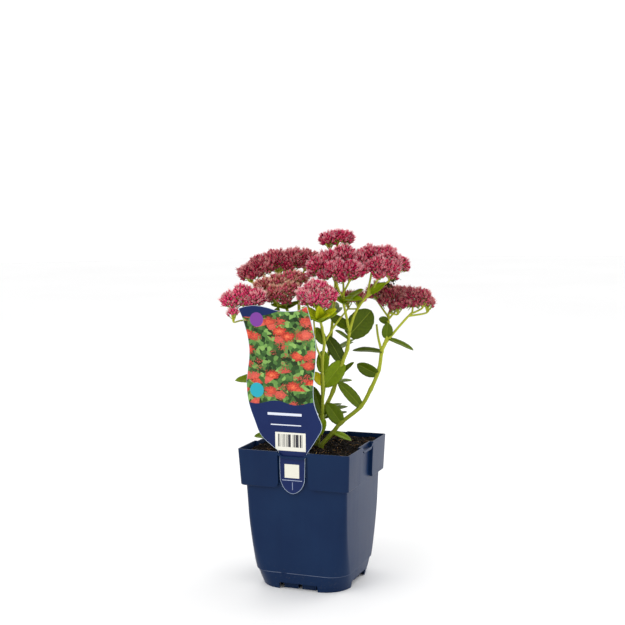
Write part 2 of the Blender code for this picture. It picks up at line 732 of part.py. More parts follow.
def head_rays(head, chain, radius):
    """The green branches from a stem's end to the underside of each lobe of a head, with their rays."""
    made = []
    lobes = sorted(HEADS[head], key=lambda lobe: (lobe_frame(head, lobe)[0] - chain[-1]).length)
    for order, lobe in enumerate(lobes):
        base, axis = lobe_base(head, lobe)
        first, second = cross_axes(axis)
        others = [(lobe_frame(head, other)[0], other[3]) for other in lobes if other is not lobe]
        fork = base - axis * RAY_RUN
        branch = [back_along(chain, order * BRANCH_STEP), fork, base - axis * SOLID_GAP / MM]
        made.append(tube("branch", branch, (radius, 0.9), BRANCH_RESOLUTION))
        for i in range(RAY_COUNT):
            angle = FULL_TURN * (i + 0.25) / RAY_COUNT
            out = first * math.cos(angle) + second * math.sin(angle)
            end = base + out * RAY_REACH * (lobe[3] - LOBE_MARGIN) - axis * RAY_CLEARANCE
            if all((end - centre).length > reach + RAY_RADII[0] for centre, reach in others):
                made.append(ray(fork + axis * RAY_STEP * (i - 1), end))
    return made


def stations(chain, pitch):
    """Points along a chain, no further apart than the pitch."""
    spots = []
    for start, end in zip(chain, chain[1:]):
        count = max(1, math.ceil((end - start).length / pitch))
        spots += [start.lerp(end, i / count) for i in range(count)]
    return [*spots, chain[-1]]


def obstacles():
    """What a leaf must stay clear of: each stem's route and each lobe, as points with a reach."""
    found = []
    for name, stem in STEMS.items():
        spots = stations(stem_route(stem), STATION_PITCH)
        for _, start, points in stem["branches"]:
            chain = [seen(*stem["route"][start - 1]), *(seen(*point) for point in points)]
            spots += stations(chain, STATION_PITCH)
        found += [(spot, stem["radius"][0], name) for spot in spots]
    for head, lobes in HEADS.items():
        found += [(lobe_frame(head, lobe)[0], lobe[3] + 3.0, head) for lobe in lobes]
    return found


def leaf_spots(root, tip, width, facing):
    side = (tip - root).cross(facing).normalized()
    spots = []
    for share in (0.25, 0.45, 0.65, 0.85, 1.0):
        middle = root.lerp(tip, share)
        spots += [middle, middle + side * width * 0.45, middle - side * width * 0.45]
    return spots


def is_clear(spots, owner, taken):
    for spot in spots:
        if spot.y * MM < LABEL_FACE_Y + LABEL_CLEARANCE * MM or spot.z < POT_HEIGHT / MM + 1.0:
            return False
        for centre, reach, other in taken:
            if other != owner and (spot - centre).length < reach + LEAF_CLEARANCE:
                return False
    return True


def plan_leaves():
    """List the leaves of each stem: those that are seen, then pairs by rule where there is room."""
    rng = random.Random(SEED)
    taken = obstacles()
    plan = {name: [] for name in STEMS}
    for name, leaves in LEAVES.items():
        for root, tip, width, facing in leaves:
            spec = (seen(*root), seen(*tip), width, seen(*facing))
            plan[name].append(spec)
            taken += [(spot, 1.5, name) for spot in leaf_spots(*spec)]
    for name, heights in LEAF_PAIRS.items():
        route = stations(stem_route(STEMS[name]), STATION_PITCH)
        turn = rng.random() * FULL_TURN
        for height in heights:
            root = min(route, key=lambda spot: abs(spot.z - height))
            turn += math.pi / 2.0
            for opposite in (0.0, math.pi):
                length = rng.uniform(*PAIR_LENGTH)
                width = rng.uniform(*PAIR_WIDTH)
                rise = rng.uniform(*PAIR_RISE)
                for attempt in range(PAIR_TRIES):
                    angle = turn + opposite + attempt * GOLDEN_TURN * 0.35
                    way = Vector((math.cos(angle), math.sin(angle), rise)).normalized()
                    facing = UP - way * 0.6
                    spec = (root, root + way * length, width, facing)
                    spots = leaf_spots(*spec)
                    if is_clear(spots, name, taken):
                        plan[name].append(spec)
                        taken += [(spot, 1.5, name) for spot in spots]
                        break
    return plan


def make_stem(name, leaves, look, parts):
    stem = STEMS[name]
    route = stem_route(stem)
    roots = stations(route, STATION_PITCH)
    stalk = tube(name, route, stem["radius"], STEM_RESOLUTION)
    pieces = []
    for head, start, points in stem["branches"]:
        chain = route
        radius = stem["radius"][1] * 0.85
        if points:
            node = seen(*stem["route"][start - 1])
            chain = smooth_route([node, *(seen(*point) for point in points)], ROUTE_STEPS)
            pieces.append(tube("fork", chain, (radius, radius * 0.75), BRANCH_RESOLUTION))
        if head:
            pieces += head_rays(head, chain, radius * 0.75)
    for root, tip, width, facing in leaves:
        pieces.append(leaf("leaf", nearest(roots, root), tip, width, facing))
    keep_main_body(boolean(stalk, pieces, "UNION", "MANIFOLD"))
    return finish(stalk, name, look, parts)


def main():
    clear_scene()
    parts = bpy.data.collections.new("stonecrop_in_pot")
    bpy.context.scene.collection.children.link(parts)
    make_pot(parts)
    make_soil(parts)
    make_label(parts)
    green = material("stem")
    for name, leaves in plan_leaves().items():
        make_stem(name, leaves, green, parts)
    magenta = material("head")
    for name in HEADS:
        make_head(name, magenta, parts)


main()
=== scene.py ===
"""A flowering stonecrop in a square nursery pot with its plant label: the finish of every surface.

The pot's axis is the Z axis, its labelled side faces -Y. Points of the plant are in millimetres as
it is seen with the pot's front right corner turned to the eye: across to the right, behind the
pot's axis, and up. seen() turns them into the pot's own axes, and MM turns them into metres.
"""
import json
import math
import random
from functools import partial

import bmesh
import bpy
from mathutils import Matrix, Vector, noise

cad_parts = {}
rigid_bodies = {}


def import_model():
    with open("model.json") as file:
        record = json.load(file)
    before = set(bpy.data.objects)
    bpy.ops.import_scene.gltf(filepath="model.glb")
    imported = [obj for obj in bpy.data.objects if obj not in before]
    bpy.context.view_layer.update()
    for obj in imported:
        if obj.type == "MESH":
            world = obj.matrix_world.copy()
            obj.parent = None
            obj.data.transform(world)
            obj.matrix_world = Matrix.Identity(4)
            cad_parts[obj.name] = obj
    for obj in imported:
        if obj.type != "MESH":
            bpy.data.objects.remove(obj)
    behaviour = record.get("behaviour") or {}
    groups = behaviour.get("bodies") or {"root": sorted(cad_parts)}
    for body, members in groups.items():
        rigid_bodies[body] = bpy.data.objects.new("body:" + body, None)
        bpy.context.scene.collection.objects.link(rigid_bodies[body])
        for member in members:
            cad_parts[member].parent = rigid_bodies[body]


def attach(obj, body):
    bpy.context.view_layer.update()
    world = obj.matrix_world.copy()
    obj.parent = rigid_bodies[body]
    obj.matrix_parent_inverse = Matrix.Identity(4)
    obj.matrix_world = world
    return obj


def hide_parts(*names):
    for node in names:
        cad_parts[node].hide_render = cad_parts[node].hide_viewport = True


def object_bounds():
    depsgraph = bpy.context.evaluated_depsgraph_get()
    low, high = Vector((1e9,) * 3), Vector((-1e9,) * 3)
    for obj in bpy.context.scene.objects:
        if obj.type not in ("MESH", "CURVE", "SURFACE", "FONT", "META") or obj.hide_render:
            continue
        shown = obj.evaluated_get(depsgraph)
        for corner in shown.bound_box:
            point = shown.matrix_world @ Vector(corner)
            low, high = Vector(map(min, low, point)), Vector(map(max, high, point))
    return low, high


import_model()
CAD_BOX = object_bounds()

MM = 0.001
UP = Vector((0.0, 0.0, 1.0))
FULL_TURN = 2.0 * math.pi
GOLDEN_TURN = math.pi * (3.0 - math.sqrt(5.0))

# Pot, in millimetres
WALL = 1.2
SOLID_GAP = 0.3
POT_HEIGHT = 133.0
COLLAR_BASE = 98.6
BASE_RING = 16.0
CORNER_STEPS = 9
OVERSHOOT = 2.0
JOIN_DEPTH = 0.2
FOOT_HALF = 43.5
FOOT_CORNER = 26.0
RIM_HALF = 55.0
SMALLEST_CORNER = 0.6
# Height, half width and corner radius, from the ground up
BODY_LEVELS = (
    (0.0, FOOT_HALF, FOOT_CORNER),
    (8.0, 44.9, 22.5),
    (BASE_RING, 46.0, 19.0),
    (BASE_RING + 0.4, 46.7, 18.0),
    (23.0, 47.1, 15.4),
    (31.0, 47.4, 13.0),
    (40.0, 47.8, 10.6),
    (50.0, 48.2, 8.5),
    (59.0, 48.6, 7.1),
    (69.0, 49.0, 6.0),
    (COLLAR_BASE, 50.0, 5.0),
    (POT_HEIGHT, 51.7, 5.0),
)
COLLAR_LEVELS = (
    (COLLAR_BASE, 52.7, 3.5),
    (COLLAR_BASE + 0.35, 53.1, 3.2),
    (COLLAR_BASE + 1.0, 53.4, 3.0),
    (POT_HEIGHT, RIM_HALF, 2.5),
)
FLOOR_UNDERSIDE = 7.0
FLOOR_TOP = 8.6
DRAIN_RADIUS = 5.0
DRAIN_PITCH = 24.0
DRAIN_SIDES = 24
CENTRE_FOOT_RADIUS = 12.0
CENTRE_FOOT_SIDES = 32
RECESS_WIDTH = 30.0
RECESS_FLARE = 3.5
RECESS_FLARE_HEIGHT = 5.0
RECESS_FLARE_CURVE = ((0.88, 0.03), (0.7, 0.1), (0.42, 0.25), (0.2, 0.45), (0.07, 0.7))
RECESS_DEPTH = 30.0
STRAP_HEIGHT = 2.2
STRAP_END_DROP = 1.0
STRAP_MIDDLE_DROP = 4.0
STRAP_STATIONS = 25
STRAP_FLATNESS = 4.0
NOTCH_WIDTH = 38.0
NOTCH_HEIGHT = 6.2
NOTCH_INNER = 40.0
PAD_SETBACK = 4.5
PAD_THICKNESS = 3.0
PAD_GAP = 4.0
PAD_WIDTH = 14.0
EDGE_ROUND = 0.3
EDGE_SHARPNESS = math.radians(38.0)

# Soil, in millimetres
SOIL_LEVEL = 129.4
SOIL_STEPS = (100.0, 50.0, 31.0, BASE_RING, FLOOR_TOP + SOLID_GAP)
SOIL_CELLS = 110
SOIL_LUMP = 9.0
SOIL_LUMP_HEIGHT = 1.5
SOIL_GRAIN = 2.2
SOIL_GRAIN_HEIGHT = 0.7
CRUMB_COUNT = 1500
CRUMB_SIZE = (0.45, 1.5)
CRUMB_ROUGHNESS = 0.35
STRAW_COUNT = 230
STRAW_LENGTH = (1.8, 9.0)
STRAW_RADIUS = 0.17
STRAW_LIMIT = RIM_HALF - 5.0

# Label: its outline as x and z, in millimetres
LABEL_THICKNESS = 0.6
LABEL_FACE_Y = -52.6
LABEL_EDGE_LINE = 0.28
LABEL_SMOOTH = 5
LABEL_LEFT = ((-52.3, 264.0), (-47.2, 251.4), (-43.0, 235.0), (-42.2, 221.0), (-44.0, 207.0),
              (-45.3, 193.0), (-43.5, 177.0), (-37.8, 160.5), (-30.9, 146.0), (-14.4, 133.0))
LABEL_TONGUE = ((-13.4, 128.0), (-13.2, 110.0), (-12.3, 104.0), (-8.5, 97.5), (-1.0, 93.8),
                (6.5, 97.5), (10.3, 104.0), (11.2, 110.0), (11.8, 128.0))
LABEL_RIGHT = ((14.2, 133.0), (23.0, 146.0), (28.7, 157.3), (24.7, 168.7), (21.0, 180.4),
               (20.7, 196.0), (22.9, 214.3), (23.6, 232.5), (19.9, 250.5), (15.3, 267.6))
LABEL_TOP = ((9.0, 264.3), (3.6, 262.8), (-6.0, 262.3), (-14.1, 262.9), (-25.9, 265.8),
             (-35.8, 267.0), (-45.0, 266.0))

# Stems and leaves, in millimetres
VIEW_TURN = math.radians(21.2)
STEM_FOOT = 106.0
STEM_COLLAR = 132.0
STEM_RESOLUTION = 3
STALK_SLIMNESS = 0.82
KNOT_SWELL = 0.22
STALK_UNEVENNESS = 0.07
STALK_WAVE = 9.0
BRANCH_SHARE = 0.85
BRANCH_TAPER = 0.75
BRANCH_RESOLUTION = 2
SMOOTH_STEPS = 5
LEAF_THICKNESS = 1.7
LEAF_CELLS = (10, 22)
LEAF_TOOTH = 0.035
LEAF_TEETH = 6
LEAF_NARROWEST = 0.12
LEAF_ROOT_SHARE = 0.05
LEAF_FULLNESS = 0.58
LEAF_BREADTH = 1.1
LEAF_WIDEST_SHIFT = 0.9
LEAF_THINNING = 0.45
LEAF_CUP = 0.14
LEAF_DROOP = 0.10
LEAF_BLUNTNESS = 14
LEAF_RIB = 0.3
LEAF_RIB_WIDTH = 0.12
LEAF_RIPPLE = 0.5
LEAF_RIPPLE_SIZE = 8.0
LEAF_CLEARANCE = 2.6
LEAF_REACH = 1.5
LEAF_CHECKS = (0.25, 0.45, 0.65, 0.85, 1.0)
LOBE_CLEARANCE = 3.0
STATION_PITCH = 4.0
LABEL_CLEARANCE = 6.0
SEED = 7

# Flower heads, in millimetres
LOBE_MARGIN = 1.6
LOBE_BASE = -0.5
LOBE_SPREAD = 62.0
LOBE_LAST_POLAR = 2.15
LOBE_FLATNESS = 0.78
LOBE_DEPTH = 1.1
LOBE_OVERLAP = 0.86
BUD_PITCH = 2.85
BUD_SIZE = (1.1, 1.55)
BUD_LEAN = 0.95
BUD_REACH = 3.1
BOX_MARGIN = 1.4
BUD_SCATTER = 0.24
BUD_RELIEF = 2.2
BUD_RELIEF_SIZE = 5.5
# The dark core of a lobe, painted shade: its width as a share of the lobe's radius, and its tint
CORE_SHARE = 0.8
CORE_TINT = 0.3
BUD_JITTER = (-1.7, 0.5)
# Florets that open and that stand open: the lean of their petals, in radians, and their length
FLORETS = ((0.16, 3.5), (0.6, 3.0))
# How many of a head's flowers are closed buds, opening florets and open ones
BLOOM_SHARES = (0.44, 0.4, 0.16)
BRANCH_STEP = 2.6
RAY_RUN = 7.0
RAY_COUNT = 9
RAY_REACH = 0.62
RAY_RADII = (0.8, 0.55)
RAY_STAGGER = 1.1
RAY_LIFT = 1.5
RAY_BOW = 0.12
BRANCH_END = 0.9

# Each stem: root (across, behind), radius at the foot and at the top, the route above the soil,
# and its branches: the head that each carries, the route point it leaves from, and its own route
STEMS = {
    "stem_right": {
        "root": (7, -15), "radius": (2.7, 1.9),
        "route": ((18, -12, 143), (26, -9, 152), (45, -2, 166), (55, 2, 182), (63, 5, 200),
                  (66, 8, 217), (69, 10, 224), (72, 13, 233), (73, 18, 245)),
        "branches": (("head_far_right", 7, ((79, 12, 236), (89, 14, 247), (96, 15, 254))),
                     ("head_right", 9, ((74, 24, 253),)),
                     ("", 6, ((63, 14, 231), (62, 20, 242)))),
    },
    "stem_middle": {
        "root": (3, -3), "radius": (2.8, 2.1),
        "route": ((7, -2, 149), (12, -1, 166), (19, 0, 181), (28, 1, 208), (33, 1, 221), (35, 1, 237)),
        "branches": (("head_centre", 6, ((32, -1, 254), (28, -2, 272))),
                     ("head_centre_right", 6, ((40, 3, 253), (48, 5, 266), (58, 6, 276)))),
    },
    "stem_front": {
        "root": (-4, -22), "radius": (2.3, 1.5),
        "route": ((4, -18, 145), (8, -17, 158), (9, -17, 190), (9, -17, 213), (11, -18, 229),
                  (9, -22, 244), (7, -27, 253)),
        "branches": (("head_front", 7, ()),
                     ("", 4, ((3, -17, 228), (2, -20, 244), (1, -27, 258))),
                     ("head_pale", 5, ((18, -10, 240), (25, -3, 249), (31, 7, 255), (35, 16, 259)))),
    },
    "stem_tall_left": {
        "root": (-12, 6), "radius": (2.6, 1.9),
        "route": ((-12, 7, 150), (-12, 10, 195), (-12, 15, 235), (-13, 22, 276)),
        "branches": (("head_left", 4, ((-20, 25, 285),)),),
    },
    "stem_left": {
        "root": (-17, -9), "radius": (2.2, 1.6),
        "route": ((-16, -8, 174), (-16, -7, 222), (-19, -5, 246), (-24, -4, 261)),
        "branches": (("head_mid_left", 4, ((-27, -5, 265),)),),
    },
    "stem_far_left": {
        "root": (-26, 3), "radius": (2.2, 1.5),
        "route": ((-29, 3, 173), (-37, 1, 216), (-49, -1, 238), (-59, -5, 250)),
        "branches": (("head_low_left", 4, ((-64, -10, 259),)),
                     ("head_small_left", 4, ((-67, -14, 251),))),
    },
    "stem_rear": {
        "root": (4, 14), "radius": (2.4, 1.5),
        "route": ((6, 15, 150), (12, 19, 190), (18, 24, 232), (22, 26, 270), (24, 19, 305)),
        "branches": (("head_top", 5, ((25, 13, 313),)),),
    },
}

# Each flower head: its lobes, as the middle of each domed cluster and its radius
HEADS = {
    "head_top": ((16, 10, 325, 9), (25, 8, 328, 9.5), (33, 12, 326, 9)),
    "head_left": ((-62, 22, 294, 10), (-49, 22, 301, 12), (-33, 20, 305, 13), (-16, 22, 306, 13),
                  (-2, 26, 305, 12), (-30, 36, 301, 12)),
    "head_centre": ((6, -8, 302, 11), (17, -5, 307, 11), (31, -3, 310, 12), (22, -17, 299, 11),
                    (38, -14, 298, 11)),
    "head_centre_right": ((55, 6, 310, 12), (70, 8, 309, 12), (82, 10, 301, 11), (61, -7, 301, 11),
                          (74, -5, 297, 10), (67, 21, 304, 11)),
    "head_low_left": ((-76, -16, 271, 10), (-64, -18, 276, 11), (-52, -22, 273, 10)),
    "head_small_left": ((-73, -24, 260, 6),),
    "head_mid_left": ((-44, 0, 281, 11), (-31, 0, 285, 11), (-18, -1, 288, 11), (-33, -13, 276, 10),
                      (-20, -13, 279, 10)),
    "head_front": ((4, -30, 282, 10), (-6, -32, 277, 9), (14, -32, 276, 10), (4, -39, 273, 9)),
    "head_pale": ((34, 24, 268, 9), (45, 22, 268, 8)),
    "head_right": ((62, 34, 273, 10), (76, 32, 270, 11), (88, 37, 270, 10), (84, 26, 261, 8)),
    "head_far_right": ((95, 15, 271, 9), (106, 14, 269, 9.5), (112, 22, 263, 8)),
}

# Smaller clusters that fill the heads out between and under their lobes
SMALL_LOBES = {
    "head_left": ((-55, 16, 292, 7), (-22, 14, 300, 7), (-41, 12, 298, 7)),
    "head_centre": ((27, -18, 290, 7), (36, -12, 292, 7), (13, -14, 293, 8), (2, -8, 295, 7)),
    "head_centre_right": ((44, 0, 306, 11), (47, -7, 297, 9), (63, -9, 292, 7), (76, -3, 291, 7)),
    "head_low_left": ((-70, -20, 268, 6), (-57, -23, 268, 6)),
    "head_mid_left": ((-50, -3, 276, 7), (-39, -9, 271, 6), (-25, -13, 270, 7), (-9, -2, 289, 7)),
    "head_front": ((2, -37, 269, 6), (11, -37, 267, 6), (-6, -33, 270, 6)),
    "head_right": ((70, 26, 264, 7), (92, 28, 262, 7), (77, 24, 257, 5)),
    "head_far_right": ((89, 12, 263, 7), (101, 11, 263, 6)),
}

# The lightness, in the lists of leaves below, of one that has turned yellow
YELLOW = 1.4

# Leaves that are seen: root, tip, width, the way the upper face looks, and how light it is:
# 0 is deep olive, 1 a young yellow green, above 1 a leaf that is turning yellow; for a leaf that stands in
# shadow the low lightness is partly painted shade
LEAVES = {
    "stem_right": (
        ((66, 8, 217), (38, 5, 220), 10, (0.0, -0.35, 1.0), 0.25),
        ((76, 11, 228), (97, 8, 219), 9, (0.2, -0.4, 1.0), 0.4),
        ((72, 12, 231), (72, 8, 245), 10, (0.1, -1.0, 0.1), 0.4),
        ((73, 18, 245), (64, 16, 248), 7, (0.0, -1.0, 0.4), 0.3),
        ((62, 5, 194), (42, 3, 206), 12, (0.0, -1.0, -0.3), 0.3),
        ((45, -2, 166), (24, -5, 191), 11, (0.4, -1.0, 0.3), 0.4),
        ((26, -9, 152), (13, -9, 171), 13, (0.0, -1.0, 0.2), 0.5),
        ((18, -12, 143), (36, -12, 136), 9, (0.0, -0.4, 1.0), 0.6),
    ),
    "stem_middle": (
        ((35, 1, 235), (57, 10, 257), 22, (0.1, -1.0, 0.2), 0.3),
        ((34, 1, 229), (22, -3, 240), 7, (0.0, -0.5, 1.0), 0.45),
        ((35, 1, 239), (17, 9, 253), 10, (0.2, -1.0, 0.5), 0.35),
        ((29, 1, 208), (10, -7, 186), 16, (0.1, -1.0, 0.1), 0.7),
        ((28, 1, 208), (14, 3, 234), 12, (0.2, -1.0, 0.1), 0.15),
        ((24, 1, 196), (39, 1, 209), 6, (0.0, -0.6, 1.0), 0.35),
        ((32, -1, 267), (48, -6, 279), 10, (-0.2, -0.5, 1.0), 0.7),
        ((32, -1, 268), (14, -6, 281), 10, (0.2, -0.5, 1.0), 0.6),
    ),
    "stem_front": (
        ((11, -18, 229), (3, -15, 244), 9, (0.0, -1.0, 0.1), 0.5),
        ((5, -18, 141), (11, -21, 158), 9, (0.1, -1.0, 0.1), 0.75),
        # Partly painted shade: this leaf stands in the shadow left of the stem and is given a low lightness
        # for it
        ((8, -17, 160), (0, -13, 188), 9, (0.0, -1.0, 0.0), 0.3),
        ((9, -17, 190), (1, -15, 202), 8, (0.0, -1.0, 0.2), 1.3),
        ((9, -17, 200), (10, -10, 222), 11, (0.0, -1.0, 0.2), 0.65),
        ((8, -24, 250), (-9, -29, 259), 9, (0.1, -0.6, 1.0), 1.0),
        ((8, -24, 250), (23, -31, 259), 9, (-0.1, -0.6, 1.0), 1.0),
        ((8, -24, 250), (12, -40, 256), 9, (0.0, -0.5, 1.0), 1.0),
        ((8, -24, 250), (-3, -38, 256), 9, (0.1, -0.6, 1.0), 1.0),
    ),
    "stem_far_left": (
        ((-33, 2, 192), (-74, -2, 194), 13, (0.0, -0.7, 1.0), 0.6),
        ((-27, 3, 136), (-57, 2, 139), 13, (0.0, -0.4, 1.0), 0.5),
        ((-44, -1, 238), (-31, -4, 262), 10, (0.2, -1.0, 0.2), 0.65),
    ),
}

# Where dead florets cling, and how many
WITHERED = ((77, -1, 286, 22), (73, 2, 281, 18))
WITHERED_SPREAD = 1.9
WITHERED_SIZE = (0.7, 1.1)

# Small bracts under the heads, listed as the leaves are
BRACTS = {
    "stem_middle": (
        ((28, -2, 272), (9, -15, 281), 8, (0.1, -1.0, 0.3), 0.3),
        ((31, -2, 268), (47, -13, 270), 9, (0.0, -0.7, 1.0), 0.75),
        ((56, 6, 274), (69, -4, 284), 7, (0.0, -1.0, 0.5), 0.8),
        ((30, -2, 266), (20, -13, 272), 7, (0.0, -0.8, 0.8), 0.7),
    ),
    "stem_front": (
        ((7, -27, 253), (-9, -36, 265), 8, (0.1, -0.9, 0.6), 1.15),
        ((7, -27, 253), (22, -37, 263), 8, (-0.1, -0.9, 0.6), 1.15),
        ((7, -27, 253), (6, -43, 266), 9, (0.0, -0.9, 0.6), 1.2),
        ((7, -27, 253), (16, -42, 258), 7, (0.0, -0.8, 0.8), 1.2),
    ),
    "stem_left": (
        ((-24, -4, 261), (-12, -12, 268), 6, (0.0, -0.8, 0.8), 0.6),
        ((-24, -4, 261), (-38, -14, 266), 6, (0.0, -0.8, 0.8), 0.7),
    ),
}

# Leaves that are hidden behind the label and at the back follow a rule: height of each pair
LEAF_PAIRS = {
    "stem_middle": (160,),
    "stem_tall_left": (150, 182, 214, 244),
    "stem_left": (166, 200, 232),
    "stem_far_left": (165,),
    "stem_rear": (150, 182, 214, 250),
}
PAIR_LENGTH = (24.0, 33.0)
PAIR_WIDTH = (11.0, 16.0)
PAIR_RISE = (0.25, 0.65)
PAIR_TRIES = 8
PAIR_TURN = 0.35
PAIR_TILT = 0.6
PAIR_SHADE = (0.2, 0.5)

# How each head has coloured: what is deep between the petals, the petals, and their tips
MAGENTA = ("#70042C", "#BC004A", "#FBC2C6")
CRIMSON = ("#600C24", "#AA0A42", "#EAA8A4")
DUSTY = ("#6E521A", "#B82656", "#F2CCA8")
ROSY = ("#8A2838", "#D41C64", "#FFDAD0")
MAROON = ("#5A1820", "#A81046", "#E6A8A0")
HEAD_COLOURS = {
    "head_top": MAGENTA,
    "head_left": CRIMSON,
    "head_centre": MAGENTA,
    "head_centre_right": MAGENTA,
    "head_low_left": ROSY,
    "head_small_left": ROSY,
    "head_mid_left": DUSTY,
    "head_front": ROSY,
    "head_pale": DUSTY,
    "head_right": MAROON,
    "head_far_right": MAROON,
}

# Studio: the floor, in millimetres, and each soft light's place, aim and width, in metres, and power
FLOOR_RADIUS = 6000.0
SKY_STRENGTH = 1.06
LIGHTS = (
    ("key_light", (-0.5, -1.2, 1.5), (0.0, 0.0, 0.2), 0.9, 7.0),
    ("side_light", (1.0, 1.5, 0.5), (0.0, 0.0, 0.1), 1.2, 14.0),
)

# Camera: where it stands, in metres, and its turn about Z, its tilt and its roll, in radians
CAMERA_PLACE = (0.40882, -1.05330, 0.36733)
CAMERA_TURN = -0.369917
CAMERA_TILT = 0.097885
CAMERA_ROLL = -0.011839
CAMERA_LENS = 69.12
SENSOR_WIDTH = 36.0


def linear(code):
    """A colour written as sRGB hex, turned to linear values."""
    channels = [int(code[i:i + 2], 16) / 255.0 for i in (1, 3, 5)]
    return tuple(c / 12.92 if c <= 0.04045 else ((c + 0.055) / 1.055) ** 2.4 for c in channels) + (1.0,)


def wire(made, inputs):
    """Set a node's inputs, by name or in order: plain values, hex colours or other nodes' sockets."""
    for key, value in inputs.items() if isinstance(inputs, dict) else enumerate(inputs):
        if isinstance(value, bpy.types.NodeSocket):
            made.id_data.links.new(value, made.inputs[key])
        else:
            made.inputs[key].default_value = linear(value) if isinstance(value, str) else value


def node(tree, kind, inputs=(), out=0, stops=(), **settings):
    """Add a shader node with its settings, inputs and colour stops, and give back one of its outputs."""
    made = tree.nodes.new("ShaderNode" + kind)
    for name, value in settings.items():
        setattr(made, name, value)
    if stops:
        elements = made.color_ramp.elements
        while len(elements) < len(stops):
            elements.new(0.5)
        for element, (place, code) in zip(elements, stops):
            element.position = place
            element.color = linear(code)
    wire(made, inputs)
    return made.outputs[out]


def new_material(name):
    """An empty material, its Principled shader, and what adds a node to it."""
    made = bpy.data.materials.new(name)
    made.use_nodes = True
    return made, made.node_tree.nodes["Principled BSDF"], partial(node, made.node_tree)


# Inputs and output of a Mix node that mixes colours
FACTOR, FIRST, SECOND, COLOUR = 0, 6, 7, 2


def moulded_polypropylene():
    """Navy polypropylene, injection moulded: a satin skin with faint flow streaks that run up from
    the gate, the fine grain of the mould, a breath of dust and peat towards the ground, and a painted
    highlight on the base ring's lip."""
    made, shader, add = new_material("moulded_polypropylene")
    place = add("TexCoord", out="Object")
    height = add("SeparateXYZ", (place,), "Z")
    along = add("Mapping", {"Vector": place, "Scale": (1.0, 1.0, 0.08)})
    streaks = add("TexNoise", {"Vector": along, "Scale": 1.0 / (9.0 * MM), "Detail": 4.0, "Roughness": 0.6})
    clouds = add("TexNoise", {"Vector": place, "Scale": 1.0 / (40.0 * MM), "Detail": 3.0})
    grain = add("TexNoise", {"Vector": place, "Scale": 1.0 / (0.35 * MM), "Detail": 2.0})
    base = add("ValToRGB", (clouds,), stops=((0.3, "#0B2042"), (0.7, "#102748")))
    streaked = add("Math", (streaks, 0.3), operation="MULTIPLY")
    base = add("Mix", {FACTOR: streaked, FIRST: base, SECOND: "#163056"}, COLOUR, data_type="RGBA")
    low = add("MapRange", {"Value": height, "From Min": 0.0, "From Max": 30.0 * MM,
                           "To Min": 1.0, "To Max": 0.0})
    specks = add("TexNoise", {"Vector": place, "Scale": 1.0 / (1.6 * MM), "Detail": 4.0, "Roughness": 0.7})
    dust = add("Math", (low, add("Math", (specks, 0.62), operation="GREATER_THAN")), operation="MULTIPLY")
    dusty = add("Math", (dust, 0.25), operation="MULTIPLY")
    base = add("Mix", {FACTOR: dusty, FIRST: base, SECOND: "#6E6A5E"}, COLOUR, data_type="RGBA")
    # Painted highlight: a thin pale band, broken into patches, along the lip of the base ring's step
    patchy = add("Math", (clouds, 0.42), operation="GREATER_THAN")
    lip_highlight = add("Math", (between(add, height, 15.7 * MM, 16.5 * MM), patchy), operation="MULTIPLY")
    lip_highlight_share = add("Math", (lip_highlight, 0.45), operation="MULTIPLY")
    base = add("Mix", {FACTOR: lip_highlight_share, FIRST: base, SECOND: "#8E9AB4"}, COLOUR, data_type="RGBA")
    relief = add("Bump", {"Height": grain, "Distance": 0.05 * MM, "Strength": 0.35})
    relief = add("Bump", {"Height": streaks, "Distance": 0.25 * MM, "Strength": 0.25, "Normal": relief})
    rough = add("MapRange", {"Value": streaks, "To Min": 0.28, "To Max": 0.42})
    wire(shader, {"Base Color": base, "Roughness": rough, "Normal": relief, "IOR": 1.49,
                  "Specular IOR Level": 0.11})
    return made


def damp_peat():
    """Peat potting mix, damp and loose: nearly black crumbs with browner, drier ones among them."""
    made, shader, add = new_material("damp_peat")
    place = add("TexCoord", out="Object")
    crumbs = add("TexVoronoi", {"Vector": place, "Scale": 1.0 / (1.7 * MM)}).node.outputs
    patches = add("TexNoise", {"Vector": place, "Scale": 1.0 / (5.0 * MM), "Detail": 5.0, "Roughness": 0.65})
    base = add("ValToRGB", (patches,),
               stops=((0.3, "#060403"), (0.55, "#130C07"), (0.72, "#2A1B0F"), (0.9, "#4E3519")))
    tone = add("Math", (add("SeparateColor", (crumbs["Color"],)), 0.5), operation="MULTIPLY")
    base = add("Mix", {FACTOR: tone, FIRST: base, SECOND: "#0A0604"}, COLOUR, data_type="RGBA")
    relief = add("Bump", {"Height": crumbs["Distance"], "Distance": 0.6 * MM, "Strength": 0.6})
    relief = add("Bump", {"Height": patches, "Distance": 0.8 * MM, "Strength": 0.5, "Normal": relief})
    wire(shader, {"Base Color": base, "Roughness": 0.93, "Normal": relief, "Specular IOR Level": 0.15})
    return made


def dry_straw():
    """Straw and wood fibre in the mix: dry stalks, split lengthwise, from straw yellow to brown."""
    made, shader, add = new_material("dry_straw")
    tint = add("Attribute", out="Fac", attribute_name="tint")
    place = add("TexCoord", out="Object")
    fibre = add("TexNoise", {"Vector": place, "Scale": 1.0 / (0.6 * MM), "Detail": 3.0})
    base = add("ValToRGB", (tint,),
               stops=((0.0, "#4E331C"), (0.5, "#7C5426"), (0.8, "#A87C3A"), (1.0, "#D0A860")))
    split = add("Math", (fibre, 0.5), operation="MULTIPLY")
    base = add("Mix", {FACTOR: split, FIRST: base, SECOND: "#6B4524"}, COLOUR, data_type="RGBA")
    relief = add("Bump", {"Height": fibre, "Distance": 0.1 * MM, "Strength": 0.5})
    wire(shader, {"Base Color": base, "Roughness": 0.75, "Normal": relief})
    return made


def between(add, value, low, high):
    """1 where the value lies between two limits, else 0."""
    above = add("Math", (value, low), operation="GREATER_THAN")
    return add("Math", (above, add("Math", (value, high), operation="LESS_THAN")), operation="MULTIPLY")


def panel(add, x, z, left, right, low, high):
    """1 inside an upright rectangle on the label, in millimetres, else 0."""
    across = between(add, x, left * MM, right * MM)
    return add("Math", (across, between(add, z, low * MM, high * MM)), operation="MULTIPLY")


